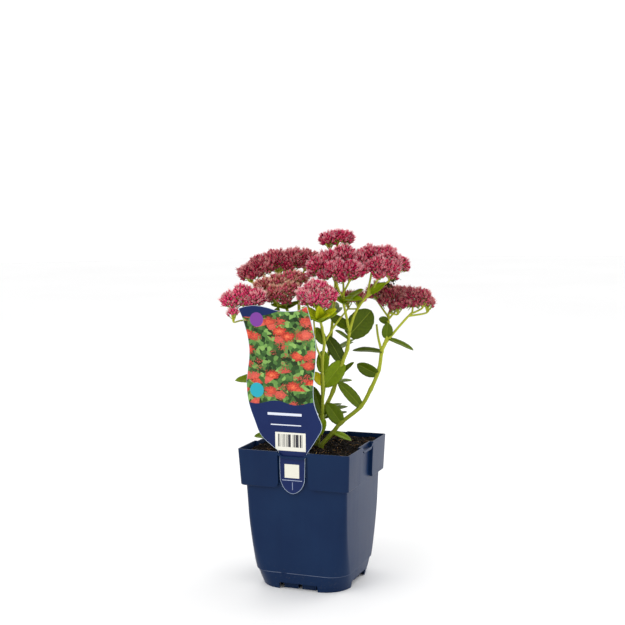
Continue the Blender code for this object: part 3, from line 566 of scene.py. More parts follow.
def dot(add, place, x, z, radius):
    """1 inside a round spot on the label, in millimetres, else 0."""
    middle = (x * MM, LABEL_FACE_Y * MM, z * MM)
    reach = add("VectorMath", (place, middle), "Value", operation="DISTANCE")
    return add("Math", (reach, radius * MM), operation="LESS_THAN")


def blossom_print(add, place, height):
    """A made-up print for the middle of the label: round coral clusters strewn over leaf greens,
    fewer of them lower down."""
    squat = add("Mapping", {"Vector": place, "Scale": (1.0, 0.0, 1.55)})
    clusters = add("TexVoronoi", {"Vector": squat, "Scale": 1.0 / (13.0 * MM),
                                  "Randomness": 0.85}).node.outputs
    florets = add("TexVoronoi", {"Vector": squat, "Scale": 1.0 / (1.5 * MM)}, "Distance")
    fine = add("Math", (florets, 0.42), operation="MULTIPLY")
    shade = add("Math", (clusters["Distance"], fine), operation="ADD")
    coral = add("ValToRGB", (shade,),
                stops=((0.15, "#EE8F62"), (0.4, "#DC5A3C"), (0.62, "#B93A2C"), (0.85, "#6E2419")))
    tone = add("SeparateColor", (clusters["Color"],)).node.outputs
    pink = add("Math", (tone[1], 0.45), operation="MULTIPLY")
    coral = add("Mix", {FACTOR: pink, FIRST: coral, SECOND: "#E7786A"}, COLOUR, data_type="RGBA")
    leaves = add("TexVoronoi", {"Vector": place, "Scale": 1.0 / (3.6 * MM)}, "Color")
    green = add("ValToRGB", (add("SeparateColor", (leaves,)),),
                stops=((0.0, "#1C2E16"), (0.4, "#35552A"), (0.75, "#5E8A44"), (1.0, "#8DB560")))
    chance = add("MapRange", {"Value": height, "From Min": 180.0 * MM, "From Max": 232.0 * MM,
                              "To Min": 0.42, "To Max": 0.92})
    chosen = add("Math", (tone[0], chance), operation="LESS_THAN")
    inside = add("Math", (shade, 0.78), operation="LESS_THAN")
    shown = add("Math", (chosen, inside), operation="MULTIPLY")
    return add("Mix", {FACTOR: shown, FIRST: green, SECOND: coral}, COLOUR, data_type="RGBA")


def printed_label():
    """White polystyrene sheet, offset printed and lacquered: a smooth, fairly glossy card with a navy
    ground, a flower print between two navy fields, and plain marks with no lettering."""
    made, shader, add = new_material("printed_label")
    place = add("TexCoord", out="Object")
    parts = add("SeparateXYZ", (place,)).node.outputs
    x, z = parts["X"], parts["Z"]
    paper_grain = add("TexNoise", {"Vector": place, "Scale": 1.0 / (0.5 * MM), "Detail": 2.0})
    clouds = add("TexNoise", {"Vector": place, "Scale": 1.0 / (30.0 * MM), "Detail": 3.0})
    colour = add("ValToRGB", (clouds,), stops=((0.3, "#102050"), (0.7, "#152758")))
    swing = add("Math", (add("Math", (x, 160.0, -2.1), operation="MULTIPLY_ADD"),), operation="SINE")
    lower_edge = add("Math", (swing, 1.8 * MM, 178.2 * MM), operation="MULTIPLY_ADD")
    reach = add("Math", (add("Math", (x, 45.0 * MM), operation="ADD"), 0.0), operation="MAXIMUM")
    rise = add("Math", (add("Math", (reach, reach), operation="MULTIPLY"), 5.5), operation="MULTIPLY")
    upper_edge = add("Math", (rise, 256.5 * MM), operation="ADD")
    field = between(add, z, lower_edge, upper_edge)
    bars_step = add("Math", (add("Math", (x, 0.52 * MM), operation="DIVIDE"),), operation="FLOOR")
    chance = add("TexWhiteNoise", {"W": bars_step}, "Value", noise_dimensions="1D")
    bars = add("Math", (add("Math", (chance, 0.45), operation="GREATER_THAN"),
                        panel(add, x, z, -14.6, 9.8, 137.4, 149.2)), operation="MULTIPLY")
    pale = add("Math", (panel(add, x, z, -24.7, 9.0, 166.4, 168.8),
                        panel(add, x, z, -21.7, 8.3, 157.2, 158.2)), operation="ADD")
    lines = add("Math", (panel(add, x, z, -11.2, 8.6, 106.1, 106.6),
                         panel(add, x, z, -1.2, -0.8, 97.5, 104.6)), operation="ADD")
    for mask, ink in ((field, blossom_print(add, place, z)),
                      (dot(add, place, -34.4, 254.2, 6.6), "#7B3F96"),
                      (dot(add, place, -35.0, 189.0, 6.8), "#2CA3B5"),
                      (pale, "#D9DEEA"),
                      (panel(add, x, z, -17.4, 12.6, 133.8, 150.9), "#E6E4D8"),
                      (bars, "#3A3A40"),
                      (panel(add, x, z, -8.6, 5.8, 108.6, 121.4), "#E2E0D2"),
                      (lines, "#AEB8D0")):
        colour = add("Mix", {FACTOR: mask, FIRST: colour, SECOND: ink}, COLOUR, data_type="RGBA")
    rough = add("MapRange", {"Value": paper_grain, "To Min": 0.24, "To Max": 0.34})
    relief = add("Bump", {"Height": paper_grain, "Distance": 0.02 * MM, "Strength": 0.3})
    wire(shader, {"Base Color": colour, "Roughness": rough, "IOR": 1.5, "Specular IOR Level": 0.15,
                  "Normal": relief})
    return made


def bare_polystyrene():
    """White polystyrene sheet, die cut: the unprinted rim and cut edge of the label."""
    made, shader, add = new_material("bare_polystyrene")
    place = add("TexCoord", out="Object")
    marks = add("TexNoise", {"Vector": place, "Scale": 1.0 / (3.0 * MM), "Detail": 3.0})
    base = add("ValToRGB", (marks,), stops=((0.3, "#9FB0C6"), (0.7, "#BAC8D6")))
    relief = add("Bump", {"Height": marks, "Distance": 0.03 * MM, "Strength": 0.2})
    wire(shader, {"Base Color": base, "Roughness": 0.4, "Normal": relief})
    return made


def label_back():
    """White polystyrene sheet with one navy ink all over: the back of the label."""
    made, shader, add = new_material("label_back")
    place = add("TexCoord", out="Object")
    ink = add("TexNoise", {"Vector": place, "Scale": 1.0 / (8.0 * MM), "Detail": 4.0})
    base = add("ValToRGB", (ink,), stops=((0.3, "#1C2C62"), (0.7, "#26396F")))
    relief = add("Bump", {"Height": ink, "Distance": 0.03 * MM, "Strength": 0.2})
    wire(shader, {"Base Color": base, "Roughness": 0.33, "Normal": relief})
    return made


def stonecrop_stem():
    """Stonecrop stem: a smooth, juicy, hairless skin, olive near the soil and lime green above, with
    faint lengthwise lines and paler freckles."""
    made, shader, add = new_material("stonecrop_stem")
    place = add("TexCoord", out="Object")
    height = add("SeparateXYZ", (place,), "Z")
    share = add("MapRange", {"Value": height, "From Min": 130.0 * MM, "From Max": 230.0 * MM})
    base = add("ValToRGB", (share,), stops=((0.0, "#586214"), (0.3, "#84901E"), (1.0, "#B6BC3C")))
    along = add("Mapping", {"Vector": place, "Scale": (1.0, 1.0, 0.06)})
    streaks = add("TexNoise", {"Vector": along, "Scale": 1.0 / (0.8 * MM), "Detail": 3.0})
    freckles = add("TexNoise", {"Vector": place, "Scale": 1.0 / (2.5 * MM), "Detail": 4.0, "Roughness": 0.7})
    lined = add("Math", (streaks, 0.35), operation="MULTIPLY")
    base = add("Mix", {FACTOR: lined, FIRST: base, SECOND: "#8C981E"}, COLOUR, data_type="RGBA")
    spotted = add("Math", (freckles, 0.6), operation="GREATER_THAN")
    freckled = add("Math", (spotted, 0.25), operation="MULTIPLY")
    base = add("Mix", {FACTOR: freckled, FIRST: base, SECOND: "#C6CF7A"}, COLOUR, data_type="RGBA")
    relief = add("Bump", {"Height": streaks, "Distance": 0.12 * MM, "Strength": 0.5})
    wire(shader, {"Base Color": base, "Roughness": 0.45, "IOR": 1.45, "Specular IOR Level": 0.15,
                  "Subsurface Weight": 0.1, "Subsurface Radius": (0.002, 0.003, 0.0006), "Normal": relief})
    return made


# Greens of a leaf, from deep olive to one that is turning yellow
LEAF_SHADES = ((0.0, "#2E3E05"), (0.2, "#465804"), (0.4, "#607604"), (0.62, "#86A008"), (0.8, "#B0C418"),
               (1.0, "#D2BE12"))


def leaf_colour(add, place, veins_weight):
    """The green of one leaf: its own lightness, mottled, with a paler rib and side veins."""
    tint = add("Attribute", out="Fac", attribute_name="tint")
    along = add("Attribute", out="Fac", attribute_name="grade")
    across = add("Math", (add("Attribute", out="Fac", attribute_name="rim"),), operation="ABSOLUTE")
    mottle = add("TexNoise", {"Vector": place, "Scale": 1.0 / (3.5 * MM), "Detail": 4.0, "Roughness": 0.6})
    mottled = add("Math", (mottle, 0.24, -0.12), operation="MULTIPLY_ADD")
    shade = add("Math", (tint, mottled), operation="ADD")
    base = add("ValToRGB", (shade,), stops=LEAF_SHADES)
    slanted = add("Math", (across, -0.3, along), operation="MULTIPLY_ADD")
    wave = add("Math", (add("Math", (slanted, 8.0), operation="MULTIPLY"), 0.5), operation="PINGPONG")
    vein = add("Math", (add("Math", (wave, 0.035), operation="LESS_THAN"), 0.35), operation="MULTIPLY")
    rib = add("Math", (across, 0.035), operation="LESS_THAN")
    rim = add("Math", (add("Math", (across, 0.95), operation="GREATER_THAN"), 0.6), operation="MULTIPLY")
    marked = add("Math", (add("Math", (vein, rib), operation="MAXIMUM"), rim), operation="MAXIMUM")
    marked = add("Math", (marked, veins_weight), operation="MULTIPLY")
    base = add("Mix", {FACTOR: marked, FIRST: base, SECOND: "#A9B63C"}, COLOUR, data_type="RGBA")
    return base, mottle


def leaf_upper():
    """Upper face of a stonecrop leaf: fleshy and smooth with a thin wax, so it is softly glossy."""
    made, shader, add = new_material("leaf_upper")
    place = add("TexCoord", out="Object")
    base, mottle = leaf_colour(add, place, 0.3)
    skin = add("TexNoise", {"Vector": place, "Scale": 1.0 / (0.7 * MM), "Detail": 3.0})
    relief = add("Bump", {"Height": skin, "Distance": 0.08 * MM, "Strength": 0.4})
    relief = add("Bump", {"Height": mottle, "Distance": 0.5 * MM, "Strength": 0.35, "Normal": relief})
    wire(shader, {"Base Color": base, "Roughness": 0.38, "IOR": 1.45, "Specular IOR Level": 0.16,
                  "Subsurface Weight": 0.06, "Subsurface Radius": (0.0015, 0.0025, 0.0005),
                  "Normal": relief})
    return made


def leaf_under():
    """Under face of a stonecrop leaf: the same flesh under a thicker, grey and matt wax."""
    made, shader, add = new_material("leaf_under")
    base, mottle = leaf_colour(add, add("TexCoord", out="Object"), 0.7)
    base = add("Mix", {FACTOR: 0.35, FIRST: base, SECOND: "#7C8A40"}, COLOUR, data_type="RGBA")
    relief = add("Bump", {"Height": mottle, "Distance": 0.4 * MM, "Strength": 0.4})
    wire(shader, {"Base Color": base, "Roughness": 0.6, "IOR": 1.45, "Specular IOR Level": 0.15,
                  "Normal": relief})
    return made


def stonecrop_bud(name, deep, petal, tip):
    """Stonecrop buds and florets: five narrow waxy petals on a green stalk, deepest in the seams and
    paler to the tips, each bud a little lighter or darker than the next."""
    made, shader, add = new_material(name)
    grade = add("Attribute", out="Fac", attribute_name="grade")
    tint = add("Attribute", out="Fac", attribute_name="tint")
    base = add("ValToRGB", (grade,), stops=((0.0, "#8A9A3C"), (0.12, "#8C8B44"), (0.24, deep), (0.5, petal),
                                            (0.72, petal), (1.0, tip)))
    bleached = add("Mix", {FACTOR: 1.0, FIRST: base, SECOND: "#C9B49C"}, COLOUR, data_type="RGBA",
                   blend_type="SCREEN")
    lighter = add("Math", (tint, 0.14), operation="MULTIPLY")
    base = add("Mix", {FACTOR: lighter, FIRST: base, SECOND: bleached}, COLOUR, data_type="RGBA")
    darker = add("MapRange", {"Value": tint, "From Max": 0.4, "To Min": 0.45, "To Max": 0.0})
    base = add("Mix", {FACTOR: darker, FIRST: base, SECOND: deep}, COLOUR, data_type="RGBA")
    place = add("TexCoord", out="Object")
    skin = add("TexNoise", {"Vector": place, "Scale": 1.0 / (0.5 * MM), "Detail": 2.0})
    relief = add("Bump", {"Height": skin, "Distance": 0.08 * MM, "Strength": 0.4})
    wire(shader, {"Base Color": base, "Roughness": 0.5, "IOR": 1.43, "Specular IOR Level": 0.12,
                  "Subsurface Weight": 0.08, "Subsurface Radius": (0.002, 0.0008, 0.0008), "Normal": relief})
    return made


def seen(across, behind, up):
    """Turn a point, in millimetres as the plant is seen, into the pot's own axes."""
    cos, sin = math.cos(VIEW_TURN), math.sin(VIEW_TURN)
    return Vector((across * cos - behind * sin, across * sin + behind * cos, up))


def mesh_object(name, form, smooth=True):
    """Put a bmesh, in millimetres, into the scene as an object in metres."""
    mesh = bpy.data.meshes.new(name)
    form.to_mesh(mesh)
    form.free()
    mesh.transform(Matrix.Scale(MM, 4))
    if smooth:
        mesh.shade_smooth()
    made = bpy.data.objects.new(name, mesh)
    bpy.context.scene.collection.objects.link(made)
    return made


def set_down(piece, slot, materials, *nodes):
    """Give a finished piece its materials and its place in the part; the slot is not used."""
    for item in materials:
        piece.data.materials.append(item)
    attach(piece, "root")
    if nodes:
        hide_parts(*nodes)


def ring_edges(form, ring):
    """The corners of a closed ring and the edges between them."""
    corners = [form.verts.new(point) for point in ring]
    return corners, [form.edges.new((a, b)) for a, b in zip(corners, corners[1:] + corners[:1])]


def loft(name, rings):
    """Bridge rings of equal numbers of points into one closed solid."""
    form = bmesh.new()
    loops = [ring_edges(form, ring) for ring in rings]
    for (_, lower), (_, upper) in zip(loops, loops[1:]):
        bmesh.ops.bridge_loops(form, edges=lower + upper)
    form.faces.new(loops[0][0])
    form.faces.new(loops[-1][0])
    bmesh.ops.recalc_face_normals(form, faces=form.faces)
    return mesh_object(name, form, False)


def box(name, low, high):
    """A box between two opposite corners."""
    form = bmesh.new()
    size = Vector(high) - Vector(low)
    place = Matrix.Translation((Vector(high) + Vector(low)) / 2.0) @ Matrix.Diagonal((*size, 1.0))
    bmesh.ops.create_cube(form, size=1.0, matrix=place)
    return mesh_object(name, form, False)


def upright_cylinder(name, centre, radius, low, high, sides):
    """A cylinder that stands between two heights."""
    form = bmesh.new()
    place = Matrix.Translation((centre[0], centre[1], (low + high) / 2.0))
    bmesh.ops.create_cone(form, cap_ends=True, segments=sides, radius1=radius, radius2=radius,
                          depth=high - low, matrix=place)
    return mesh_object(name, form, False)


def thickened(outline, depth):
    """A flat, upright outline made a closed solid, its depth backwards along y."""
    form = bmesh.new()
    face = form.faces.new([form.verts.new(point) for point in outline])
    grown = bmesh.ops.extrude_face_region(form, geom=[face])
    back = [item for item in grown["geom"] if isinstance(item, bmesh.types.BMVert)]
    bmesh.ops.translate(form, vec=(0.0, depth, 0.0), verts=back)
    bmesh.ops.recalc_face_normals(form, faces=form.faces)
    return form


def boolean(target, others, operation):
    """Apply one Boolean of a collection of solids to the target, and remove them."""
    group = bpy.data.collections.new("operands")
    bpy.context.scene.collection.children.link(group)
    for other in others:
        group.objects.link(other)
    modifier = target.modifiers.new("Boolean", "BOOLEAN")
    modifier.operation = operation
    modifier.operand_type = "COLLECTION"
    modifier.collection = group
    modifier.solver = "EXACT"
    graph = bpy.context.evaluated_depsgraph_get()
    result = bpy.data.meshes.new_from_object(target.evaluated_get(graph))
    target.modifiers.clear()
    target.data = result
    for other in list(group.objects):
        bpy.data.objects.remove(other, do_unlink=True)
    bpy.data.collections.remove(group)
    return target


def rounded_ring(height, half, corner, inset):
    """A square ring with round corners, drawn in by the inset."""
    half -= inset
    corner = max(corner - inset, SMALLEST_CORNER)
    ring = []
    for quarter in range(4):
        turn = Matrix.Rotation(quarter * math.pi / 2.0, 3, "Z")
        for step in range(CORNER_STEPS + 1):
            angle = step / CORNER_STEPS * math.pi / 2.0
            reach = Vector((math.cos(angle), math.sin(angle), 0.0)) * corner
            ring.append(turn @ (Vector((half - corner, half - corner, height)) + reach))
    return ring


def level_at(levels, height):
    """The half width and corner radius of a set of levels at one height."""
    for (low, half_low, corner_low), (high, half_high, corner_high) in zip(levels, levels[1:]):
        if low <= height <= high:
            share = (height - low) / (high - low)
            half = half_low + (half_high - half_low) * share
            return height, half, corner_low + (corner_high - corner_low) * share
    return height, levels[-1][1], levels[-1][2]


def block(name, levels, bottom, top, inset):
    """The solid inside a set of levels, between two heights."""
    inner = [level for level in levels if bottom < level[0] < top]
    cut = [level_at(levels, bottom), *inner, level_at(levels, min(top, POT_HEIGHT))]
    rings = [rounded_ring(*level, inset) for level in cut]
    if top > POT_HEIGHT:
        rings.append(rounded_ring(top, cut[-1][1], cut[-1][2], inset))
    return loft(name, rings)


def four_sides(make):
    """Make one shape for each side of the pot, turned about its axis."""
    made = []
    for quarter in range(4):
        shape = make()
        shape.data.transform(Matrix.Rotation(quarter * math.pi / 2.0, 4, "Z"))
        made.append(shape)
    return made


def recess_cutter(margin):
    """The gap in the collar where a label stands, wider at its foot."""
    half = RECESS_WIDTH / 2.0 + margin
    side = [(half + RECESS_FLARE, COLLAR_BASE - OVERSHOOT)]
    for flare, rise in RECESS_FLARE_CURVE:
        side.append((half + RECESS_FLARE * flare, COLLAR_BASE + RECESS_FLARE_HEIGHT * rise))
    side += [(half, COLLAR_BASE + RECESS_FLARE_HEIGHT), (half, POT_HEIGHT + 2.0 * OVERSHOOT)]
    outline = side + [(-x, z) for x, z in reversed(side)]
    face = [(x, -RIM_HALF - OVERSHOOT, z) for x, z in outline]
    return mesh_object("recess", thickened(face, RECESS_DEPTH), False)


def pot_block(name, bottom, top, inset):
    """The pot's outer form, drawn in by the inset, with its collar and four recesses."""
    body = block(name, BODY_LEVELS, bottom, top, inset)
    collar = block("collar", COLLAR_LEVELS, COLLAR_BASE + inset, top, inset)
    boolean(collar, four_sides(lambda: recess_cutter(inset)), "DIFFERENCE")
    return boolean(body, [collar], "UNION")


def strap():
    """The thin bar across the top of a recess, dipping in its middle."""
    outer = RIM_HALF - JOIN_DEPTH / 2.0
    rings = []
    for station in range(STRAP_STATIONS):
        share = station / (STRAP_STATIONS - 1)
        x = (share - 0.5) * (RECESS_WIDTH + WALL)
        dip = min(1.0, STRAP_FLATNESS * math.sin(share * math.pi) ** 2)
        top = POT_HEIGHT - STRAP_END_DROP - (STRAP_MIDDLE_DROP - STRAP_END_DROP) * dip
        corners = ((-outer, top), (-outer + WALL, top), (-outer + WALL, top - STRAP_HEIGHT),
                   (-outer, top - STRAP_HEIGHT))
        rings.append([Vector((x, y, z)) for y, z in corners])
    return loft("strap", rings)


def pad(side):
    """A pad under the floor, behind a notch, on one side of the drain channel."""
    near = side * PAD_GAP / 2.0
    far = side * (PAD_GAP / 2.0 + PAD_WIDTH)
    front = PAD_SETBACK - FOOT_HALF
    low = (min(near, far), front, 0.0)
    return box("pad", low, (max(near, far), front + PAD_THICKNESS, FLOOR_TOP - JOIN_DEPTH))


def notch():
    """The cut in the base ring, in the middle of a side."""
    half = NOTCH_WIDTH / 2.0
    return box("notch", (-half, -RIM_HALF, -OVERSHOOT), (half, -NOTCH_INNER, NOTCH_HEIGHT))


def make_pot():
    """The moulded pot: hollow collar with four recesses and straps, floor, drain holes and feet."""
    pot = pot_block("pot_shell", 0.0, POT_HEIGHT, 0.0)
    hollow = pot_block("hollow", FLOOR_TOP, POT_HEIGHT + OVERSHOOT, WALL)
    under = [rounded_ring(-OVERSHOOT, FOOT_HALF, FOOT_CORNER, WALL)]
    under.append(rounded_ring(FLOOR_UNDERSIDE, *level_at(BODY_LEVELS, FLOOR_UNDERSIDE)[1:], WALL))
    cuts = [hollow, loft("under floor", under), *four_sides(notch)]
    for side_x in (-1.0, 1.0):
        for side_y in (-1.0, 1.0):
            centre = (side_x * DRAIN_PITCH, side_y * DRAIN_PITCH)
            cuts.append(upright_cylinder("drain", centre, DRAIN_RADIUS, 0.0, 2.0 * FLOOR_TOP, DRAIN_SIDES))
    boolean(pot, cuts, "DIFFERENCE")
    feet = [upright_cylinder("foot", (0.0, 0.0), CENTRE_FOOT_RADIUS, 0.0, FLOOR_TOP - JOIN_DEPTH,
                             CENTRE_FOOT_SIDES)]
    feet += four_sides(lambda: pad(-1.0)) + four_sides(lambda: pad(1.0))
    boolean(pot, [*feet, *four_sides(strap)], "UNION")
    pot.data.shade_smooth()
    edges = pot.modifiers.new("Moulded edges", "BEVEL")
    edges.width = EDGE_ROUND * MM
    edges.segments = 2
    edges.limit_method = "ANGLE"
    edges.angle_limit = EDGE_SHARPNESS
    edges.harden_normals = True
    set_down(pot, "pot_plastic", [moulded_polypropylene()], "pot")


def rounded_reach(way, half, corner):
    """How far it is from the axis to the side of a round-cornered square, along a level direction."""
    long_side = max(abs(way.x), abs(way.y))
    short_side = min(abs(way.x), abs(way.y))
    straight = half / long_side
    if straight * short_side <= half - corner:
        return straight
    centre = half - corner
    forward = (long_side + short_side) * centre
    return forward + math.sqrt(max(0.0, forward * forward - 2.0 * centre * centre + corner * corner))


def soil_height(x, y):
    """The height of the soil's lumpy top at one place."""
    lumps = noise.fractal(Vector((x, y, SEED)) / SOIL_LUMP, 0.8, 2.0, 3)
    grains = noise.fractal(Vector((x, y, -SEED)) / SOIL_GRAIN, 0.7, 2.0, 2)
    return SOIL_LEVEL + lumps * SOIL_LUMP_HEIGHT + grains * SOIL_GRAIN_HEIGHT


def make_soil(peat):
    """The root ball: a lumpy top out to the wall, and sides that follow the pot down to its floor."""
    inset = WALL + SOLID_GAP
    form = bmesh.new()
    bmesh.ops.create_grid(form, x_segments=SOIL_CELLS, y_segments=SOIL_CELLS, size=1.0)
    _, half, corner = level_at(BODY_LEVELS, SOIL_LEVEL)
    ways = {}
    for vertex in form.verts:
        rank = max(abs(vertex.co.x), abs(vertex.co.y))
        if rank > 0.0:
            way = Vector((vertex.co.x, vertex.co.y, 0.0)).normalized()
            vertex.co = way * rank * rounded_reach(way, half - inset, corner - inset)
        vertex.co.z = soil_height(vertex.co.x, vertex.co.y)
    rim = [edge for edge in form.edges if edge.is_boundary]
    for level in SOIL_STEPS:
        _, half, corner = level_at(BODY_LEVELS, level)
        grown = bmesh.ops.extrude_edge_only(form, edges=rim)["geom"]
        rim = [item for item in grown if isinstance(item, bmesh.types.BMEdge)]
        for item in grown:
            if isinstance(item, bmesh.types.BMVert):
                way = Vector((item.co.x, item.co.y, 0.0)).normalized()
                item.co = way * rounded_reach(way, half - inset, corner - inset)
                item.co.z = level
    bmesh.ops.holes_fill(form, edges=rim)
    bmesh.ops.recalc_face_normals(form, faces=form.faces)
    set_down(mesh_object("soil_ball", form), "peat", [peat], "soil")


def template(form):
    """Keep a small shape as a mesh that scatter() copies, each point with its grade and its tint."""
    for key in ("grade", "tint"):
        if key not in form.verts.layers.float:
            form.verts.layers.float.new(key)
    mesh = bpy.data.meshes.new("template")
    form.to_mesh(mesh)
    form.free()
    return mesh


def scatter(name, places):
    """One object of many copies: each place is a template, the matrix that sets it, and its tint."""
    form = bmesh.new()
    for shape, matrix, tint in places:
        copy = shape.copy()
        copy.transform(matrix)
        copy.attributes["tint"].data.foreach_set("value", [tint] * len(copy.vertices))
        form.from_mesh(copy)
        bpy.data.meshes.remove(copy)
    return mesh_object(name, form)


def pointing(way, place, size, turn=0.0):
    """A matrix that stands a shape on a place, its own Z turned along the way."""
    frame_turn = way.to_track_quat("Z", "Y").to_matrix().to_4x4() @ Matrix.Rotation(turn, 4, "Z")
    return Matrix.Translation(place) @ frame_turn @ Matrix.Diagonal((*size, 1.0))


def soil_spot(rng):
    """A chance place on the soil, inside the pot."""
    half = level_at(BODY_LEVELS, SOIL_LEVEL)[1] - WALL - 1.5
    x, y = rng.uniform(-half, half), rng.uniform(-half, half)
    return Vector((x, y, soil_height(x, y)))


def make_crumbs(peat):
    """Loose crumbs of peat that lie on the root ball."""
    rng = random.Random(SEED)
    form = bmesh.new()
    bmesh.ops.create_icosphere(form, subdivisions=2, radius=1.0)
    for vertex in form.verts:
        vertex.co *= 1.0 + CRUMB_ROUGHNESS * noise.noise(vertex.co * 1.7)
    crumb = template(form)
    places = []
    for _ in range(CRUMB_COUNT):
        size = rng.uniform(*CRUMB_SIZE) * rng.uniform(0.5, 1.0)
        flat = [size * rng.uniform(0.6, 1.2) for _ in range(3)]
        way = Vector([rng.gauss(0.0, 1.0) for _ in range(3)]).normalized()
        places.append((crumb, pointing(way, soil_spot(rng), flat), rng.random()))
    set_down(scatter("soil_crumbs", places), "peat", [peat])


def make_straw():
    """Straw and wood fibres strewn over the soil, bent and half sunk in it."""
    rng = random.Random(SEED + 1)
    form = bmesh.new()
    bmesh.ops.create_cone(form, cap_ends=True, segments=4, radius1=1.0, radius2=0.6, depth=1.0)
    long_edges = [edge for edge in form.edges if abs(edge.verts[0].co.z - edge.verts[1].co.z) > 0.5]
    bmesh.ops.subdivide_edges(form, edges=long_edges, cuts=5)
    for vertex in form.verts:
        vertex.co.x += 1.2 * math.sin((vertex.co.z + 0.5) * math.pi)
    fibre = template(form)
    places = []
    for _ in range(STRAW_COUNT):
        angle = rng.uniform(0.0, FULL_TURN)
        way = Vector((math.cos(angle), math.sin(angle), rng.uniform(-0.25, 0.3))).normalized()
        thick = STRAW_RADIUS * rng.uniform(0.6, 1.5)
        spot = soil_spot(rng) + UP * rng.uniform(0.1, 0.8)
        length = rng.uniform(*STRAW_LENGTH)
        reach = max(abs(spot.x), abs(spot.y)) + length / 2.0
        if reach < STRAW_LIMIT:
            size = (thick, thick * 0.6, length)
            places.append((fibre, pointing(way, spot, size, rng.uniform(0.0, math.pi)), rng.random()))
    set_down(scatter("soil_straw", places), "peat", [dry_straw()])


def smooth_route(points, steps):
    """A smooth curve through the points, with the given steps between each two."""
    padded = [points[0] * 2.0 - points[1], *points, points[-1] * 2.0 - points[-2]]
    route = []
    for before, start, end, after in zip(padded, padded[1:], padded[2:], padded[3:]):
        for step in range(steps):
            t = step / steps
            curve = start * 2.0 + (end - before) * t
            curve += (before * 2.0 - start * 5.0 + end * 4.0 - after) * t * t
            curve += (start * 3.0 - before - end * 3.0 + after) * t * t * t
            route.append(curve * 0.5)
    route.append(points[-1])
    return route


def make_label():
    """The plant label: a waved card with a tongue, its print framed by a thin white line."""
    outline = []
    for run in (LABEL_LEFT, LABEL_TONGUE, LABEL_RIGHT, (LABEL_RIGHT[-1], *LABEL_TOP, LABEL_LEFT[0])):
        curve = smooth_route([Vector((x, LABEL_FACE_Y, z)) for x, z in run], LABEL_SMOOTH)
        outline += [point for point in curve if not outline or (point - outline[-1]).length > 0.2]
    outline.pop()
    form = thickened(outline, LABEL_THICKNESS)
    sheets = [item for item in form.faces if len(item.verts) > 4]
    for item in form.faces:
        item.material_index = 1
    for sheet in sheets:
        bmesh.ops.inset_region(form, faces=[sheet], thickness=LABEL_EDGE_LINE, use_even_offset=True)
        sheet.material_index = 0 if sheet.calc_center_median().y < LABEL_FACE_Y + LABEL_THICKNESS / 2 else 2
    bmesh.ops.triangulate(form, faces=sheets)
    label = mesh_object("label_card", form, False)
    set_down(label, "label_plastic", [printed_label(), bare_polystyrene(), label_back()], "plant_label")


def tube(points, radii, resolution, knot=0):
    """A round stalk along the points, a little uneven, as a mesh in millimetres. It has a swollen knot
    at every so many points, where leaves have stood."""
    curve = bpy.data.curves.new("stalk", "CURVE")
    curve.dimensions = "3D"
    curve.bevel_depth = 1.0
    curve.bevel_resolution = resolution
    curve.use_fill_caps = True
    spline = curve.splines.new("POLY")
    spline.points.add(len(points) - 1)
    for i, point in enumerate(points):
        share = i / (len(points) - 1)
        swell = 1.0 + STALK_UNEVENNESS * noise.noise(point / STALK_WAVE)
        if knot and i % knot == 1:
            swell += KNOT_SWELL
        spline.points[i].co = (*point, 1.0)
        spline.points[i].radius = (radii[0] + (radii[1] - radii[0]) * share) * swell * STALK_SLIMNESS
    drawn = bpy.data.objects.new("stalk", curve)
    bpy.context.scene.collection.objects.link(drawn)
    graph = bpy.context.evaluated_depsgraph_get()
    mesh = bpy.data.meshes.new_from_object(drawn.evaluated_get(graph))
    bpy.data.objects.remove(drawn, do_unlink=True)
    return mesh


def leaf_half_width(width, share):
    """Half the width of a leaf at a share of its length, with its shallow teeth."""
    swell = (LEAF_ROOT_SHARE + 0.93 * share) ** LEAF_WIDEST_SHIFT
    breadth = LEAF_NARROWEST + (1.0 - LEAF_NARROWEST) * math.sin(math.pi * swell) ** LEAF_FULLNESS
    teeth = 0.5 - 0.5 * math.cos(share * FULL_TURN * LEAF_TEETH)
    blunt = math.sqrt(max(0.0, 1.0 - share ** LEAF_BLUNTNESS))
    return width / 2.0 * LEAF_BREADTH * breadth * (1.0 - LEAF_TOOTH * (1.0 - teeth)) * blunt


